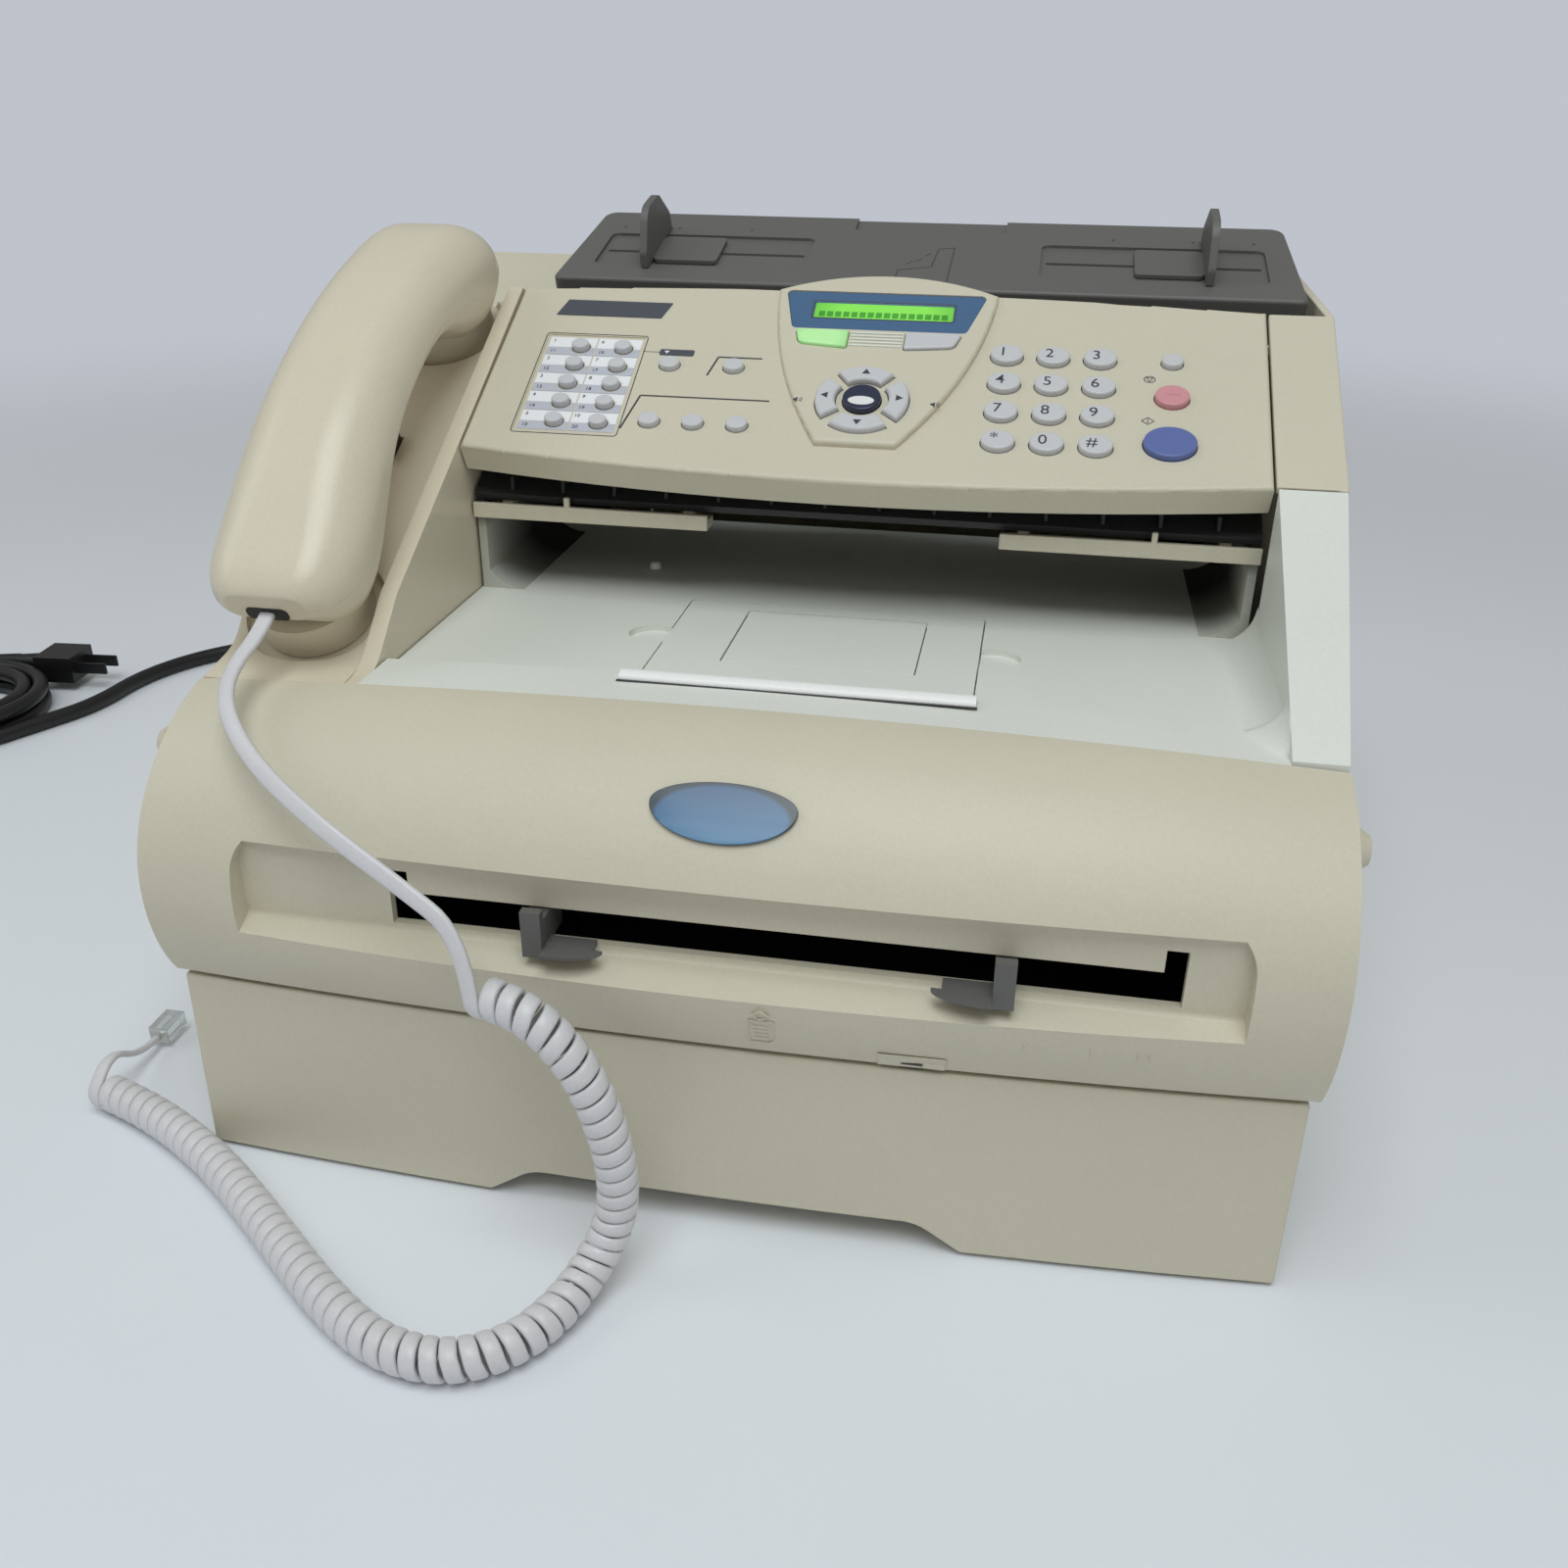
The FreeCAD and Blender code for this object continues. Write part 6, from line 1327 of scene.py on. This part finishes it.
# A dark plate at the back of each socket is painted shade in its depth.
plates("socket_bottoms", [bar(0.0, 0.0, JACK_WIDE, JACK_HIGH)], BLACK_AND_HOLE_SHADE, "chassis",
       laid(JACK_X, JACK_BACK - JACK_DEEP - BOTTOM_THICK, JACK_Z, FROM_BEHIND), BOTTOM_THICK)
for index, x in enumerate(CONTACTS_X):
    first = Vector((JACK_X + x, JACK_BACK + CONTACT_Y, JACK_Z + CONTACT_Z)) * MM
    row_of_bars("socket_contacts_%d" % index, "chassis", 4, tuple(first), CONTACT_STEP, CONTACT_SIZE, CONTACT_GOLD,
                CONTACT_LEAN)
print("line sockets ready")

# %% [markdown]
# A dark screen inside each group of vents is painted shade for the dark inside of the machine. It
# keeps daylight from showing through the machine.

# %% Vent screens
VENTS_X, VENT_HALF, VENT_LOW, VENT_HIGH = (-148.0, 150.0), 14.0, 93.0, 148.0
SCREEN_BACK, SCREEN_THICK = 182.8, 0.5
for index, x in enumerate(VENTS_X):
    plates("vent_screen_%d" % index, [bar(-VENT_HALF, VENT_LOW, VENT_HALF, VENT_HIGH)], PAINTED_SHADE_GREY, "chassis",
           laid(x, SCREEN_BACK, 0.0, FROM_BEHIND), SCREEN_THICK)
print("vent screens:", len(VENTS_X))

# %% [markdown]
# ## Coil tie
#
# A flat band holds the spare turns of the mains lead together. It is a closed loop round the
# bundle, a little wider than the turns that pass under it.

# %% Coil tie
TIE_INNER, TIE_THICK, TIE_WIDE, TIE_ROUND, TIE_LOW = 0.2, 0.6, 5.0, 3.0, 0.4
TIE_WAY = Vector((0.0, -1.0, 0.0))
RUN_SHARE = 4

coil_line = [p - coil_centre for p in mains_line[len(mains_line) // RUN_SHARE:]]
tie_span = [p.dot(TIE_WAY) for p in coil_line if p.dot(TIE_WAY) > 0 and abs(p.x) < TIE_WIDE / 2]
tie_from, tie_to = min(tie_span) - MAINS_WIDE / 2, max(tie_span) + MAINS_WIDE / 2
tie_top = FLOOR_REST + COIL_STEP + MAINS_WIDE / 2
tie_build = bmesh.new()
tie_loops = []
for grow in (TIE_INNER, TIE_INNER + TIE_THICK):
    outline = rounded(tie_from - grow, TIE_LOW - grow * 0.3, tie_to + grow, tie_top + grow, TIE_ROUND + grow)
    for shift in (-TIE_WIDE / 2, TIE_WIDE / 2):
        middle = Vector((coil_centre.x + shift, coil_centre.y, 0.0))
        tie_loops.append([tie_build.verts.new(middle + TIE_WAY * u + Vector((0, 0, w))) for u, w in outline])
skin(tie_build, [tie_loops[i] for i in (0, 1, 3, 2, 0)])
mesh_piece("coil_tie", tie_build, FINISH["mains_black"], "chassis")
print("coil tie round %.0f to %.0f mm" % (min(tie_span), max(tie_span)))

# %% [markdown]
# ## Studio
#
# A pale floor fades with distance into a backdrop of the same tone, so no edge shows behind the
# machine. The light is cool, strong from above and weaker from the left, with a faint fill from the
# right. The world gives the camera the backdrop's tone and is dimmer as a light.

# %% Floor
BACKDROP = (0.52, 0.545, 0.60, 1.0)
FLOOR_RADIUS, FADE_REACH = 6.0, 2.4


def pale_floor():
    """Wide floor disc that turns into the plain backdrop away from the machine."""
    mesh = bpy.data.meshes.new("floor")
    build = bmesh.new()
    bmesh.ops.create_circle(build, cap_ends=True, radius=FLOOR_RADIUS, segments=64)
    build.to_mesh(mesh)
    build.free()
    material = plastic("pale_floor", "#E6E9EE", 0.6, grain=60.0, depth=0.0, drift=0.02)
    tree = material.node_tree
    near = round_fade(tree, (0, 0, 0), (FADE_REACH,) * 3)
    share = add(tree, "ShaderNodeMapRange", interpolation_type="SMOOTHSTEP", From_Min=0.75, From_Max=0.25)
    glow = add(tree, "ShaderNodeEmission", Color=BACKDROP)
    both = add(tree, "ShaderNodeMixShader")
    wire(tree, (near, "Fac", share, "Value"), (share, "Result", both, 0),
         (tree.nodes["Principled BSDF"], "BSDF", both, 1), (glow, "Emission", both, 2),
         (both, 0, tree.nodes["Material Output"], "Surface"))
    mesh.materials.append(material)
    place_object("floor", mesh)


pale_floor()
print("floor fades over %.1f m" % FADE_REACH)

# %% Light
COOL, PLAIN = (0.90, 0.97, 1.0), (1.0, 0.98, 0.95)


def soft_lamp(name, place, aim, size, power, colour):
    """Square area lamp at a place, turned towards a point."""
    lamp = place_object(name, bpy.data.lights.new(name, "AREA"))
    set_all(lamp.data, energy=power, size=size, color=colour)
    turn = (Vector(aim) - Vector(place)).to_track_quat("-Z", "Y").to_euler()
    set_all(lamp, location=place, rotation_euler=turn)


soft_lamp("top_lamp", (0.1, -0.75, 1.75), (0, 0, 0.1), 1.1, 18.0, COOL)
soft_lamp("left_lamp", (-1.5, -0.4, 1.4), (0, 0, 0.15), 0.9, 4.0, COOL)
soft_lamp("fill_lamp", (1.2, -1.4, 0.9), (0, 0, 0.1), 1.2, 0.8, PLAIN)
print("lamps ready")

# %% World
DIM_SKY = (0.30, 0.30, 0.29, 1.0)
world = bpy.data.worlds.new("studio")
scene.world = world
world.use_nodes = True
paths = add(world.node_tree, "ShaderNodeLightPath")
sky_tone = add(world.node_tree, "ShaderNodeMix", data_type="RGBA", at_6=DIM_SKY, at_7=BACKDROP)
wire(world.node_tree, (paths, "Is Camera Ray", sky_tone, 0),
     (sky_tone, 2, world.node_tree.nodes["Background"], "Color"))
scene.view_settings.view_transform = "Standard"
print("studio lit")
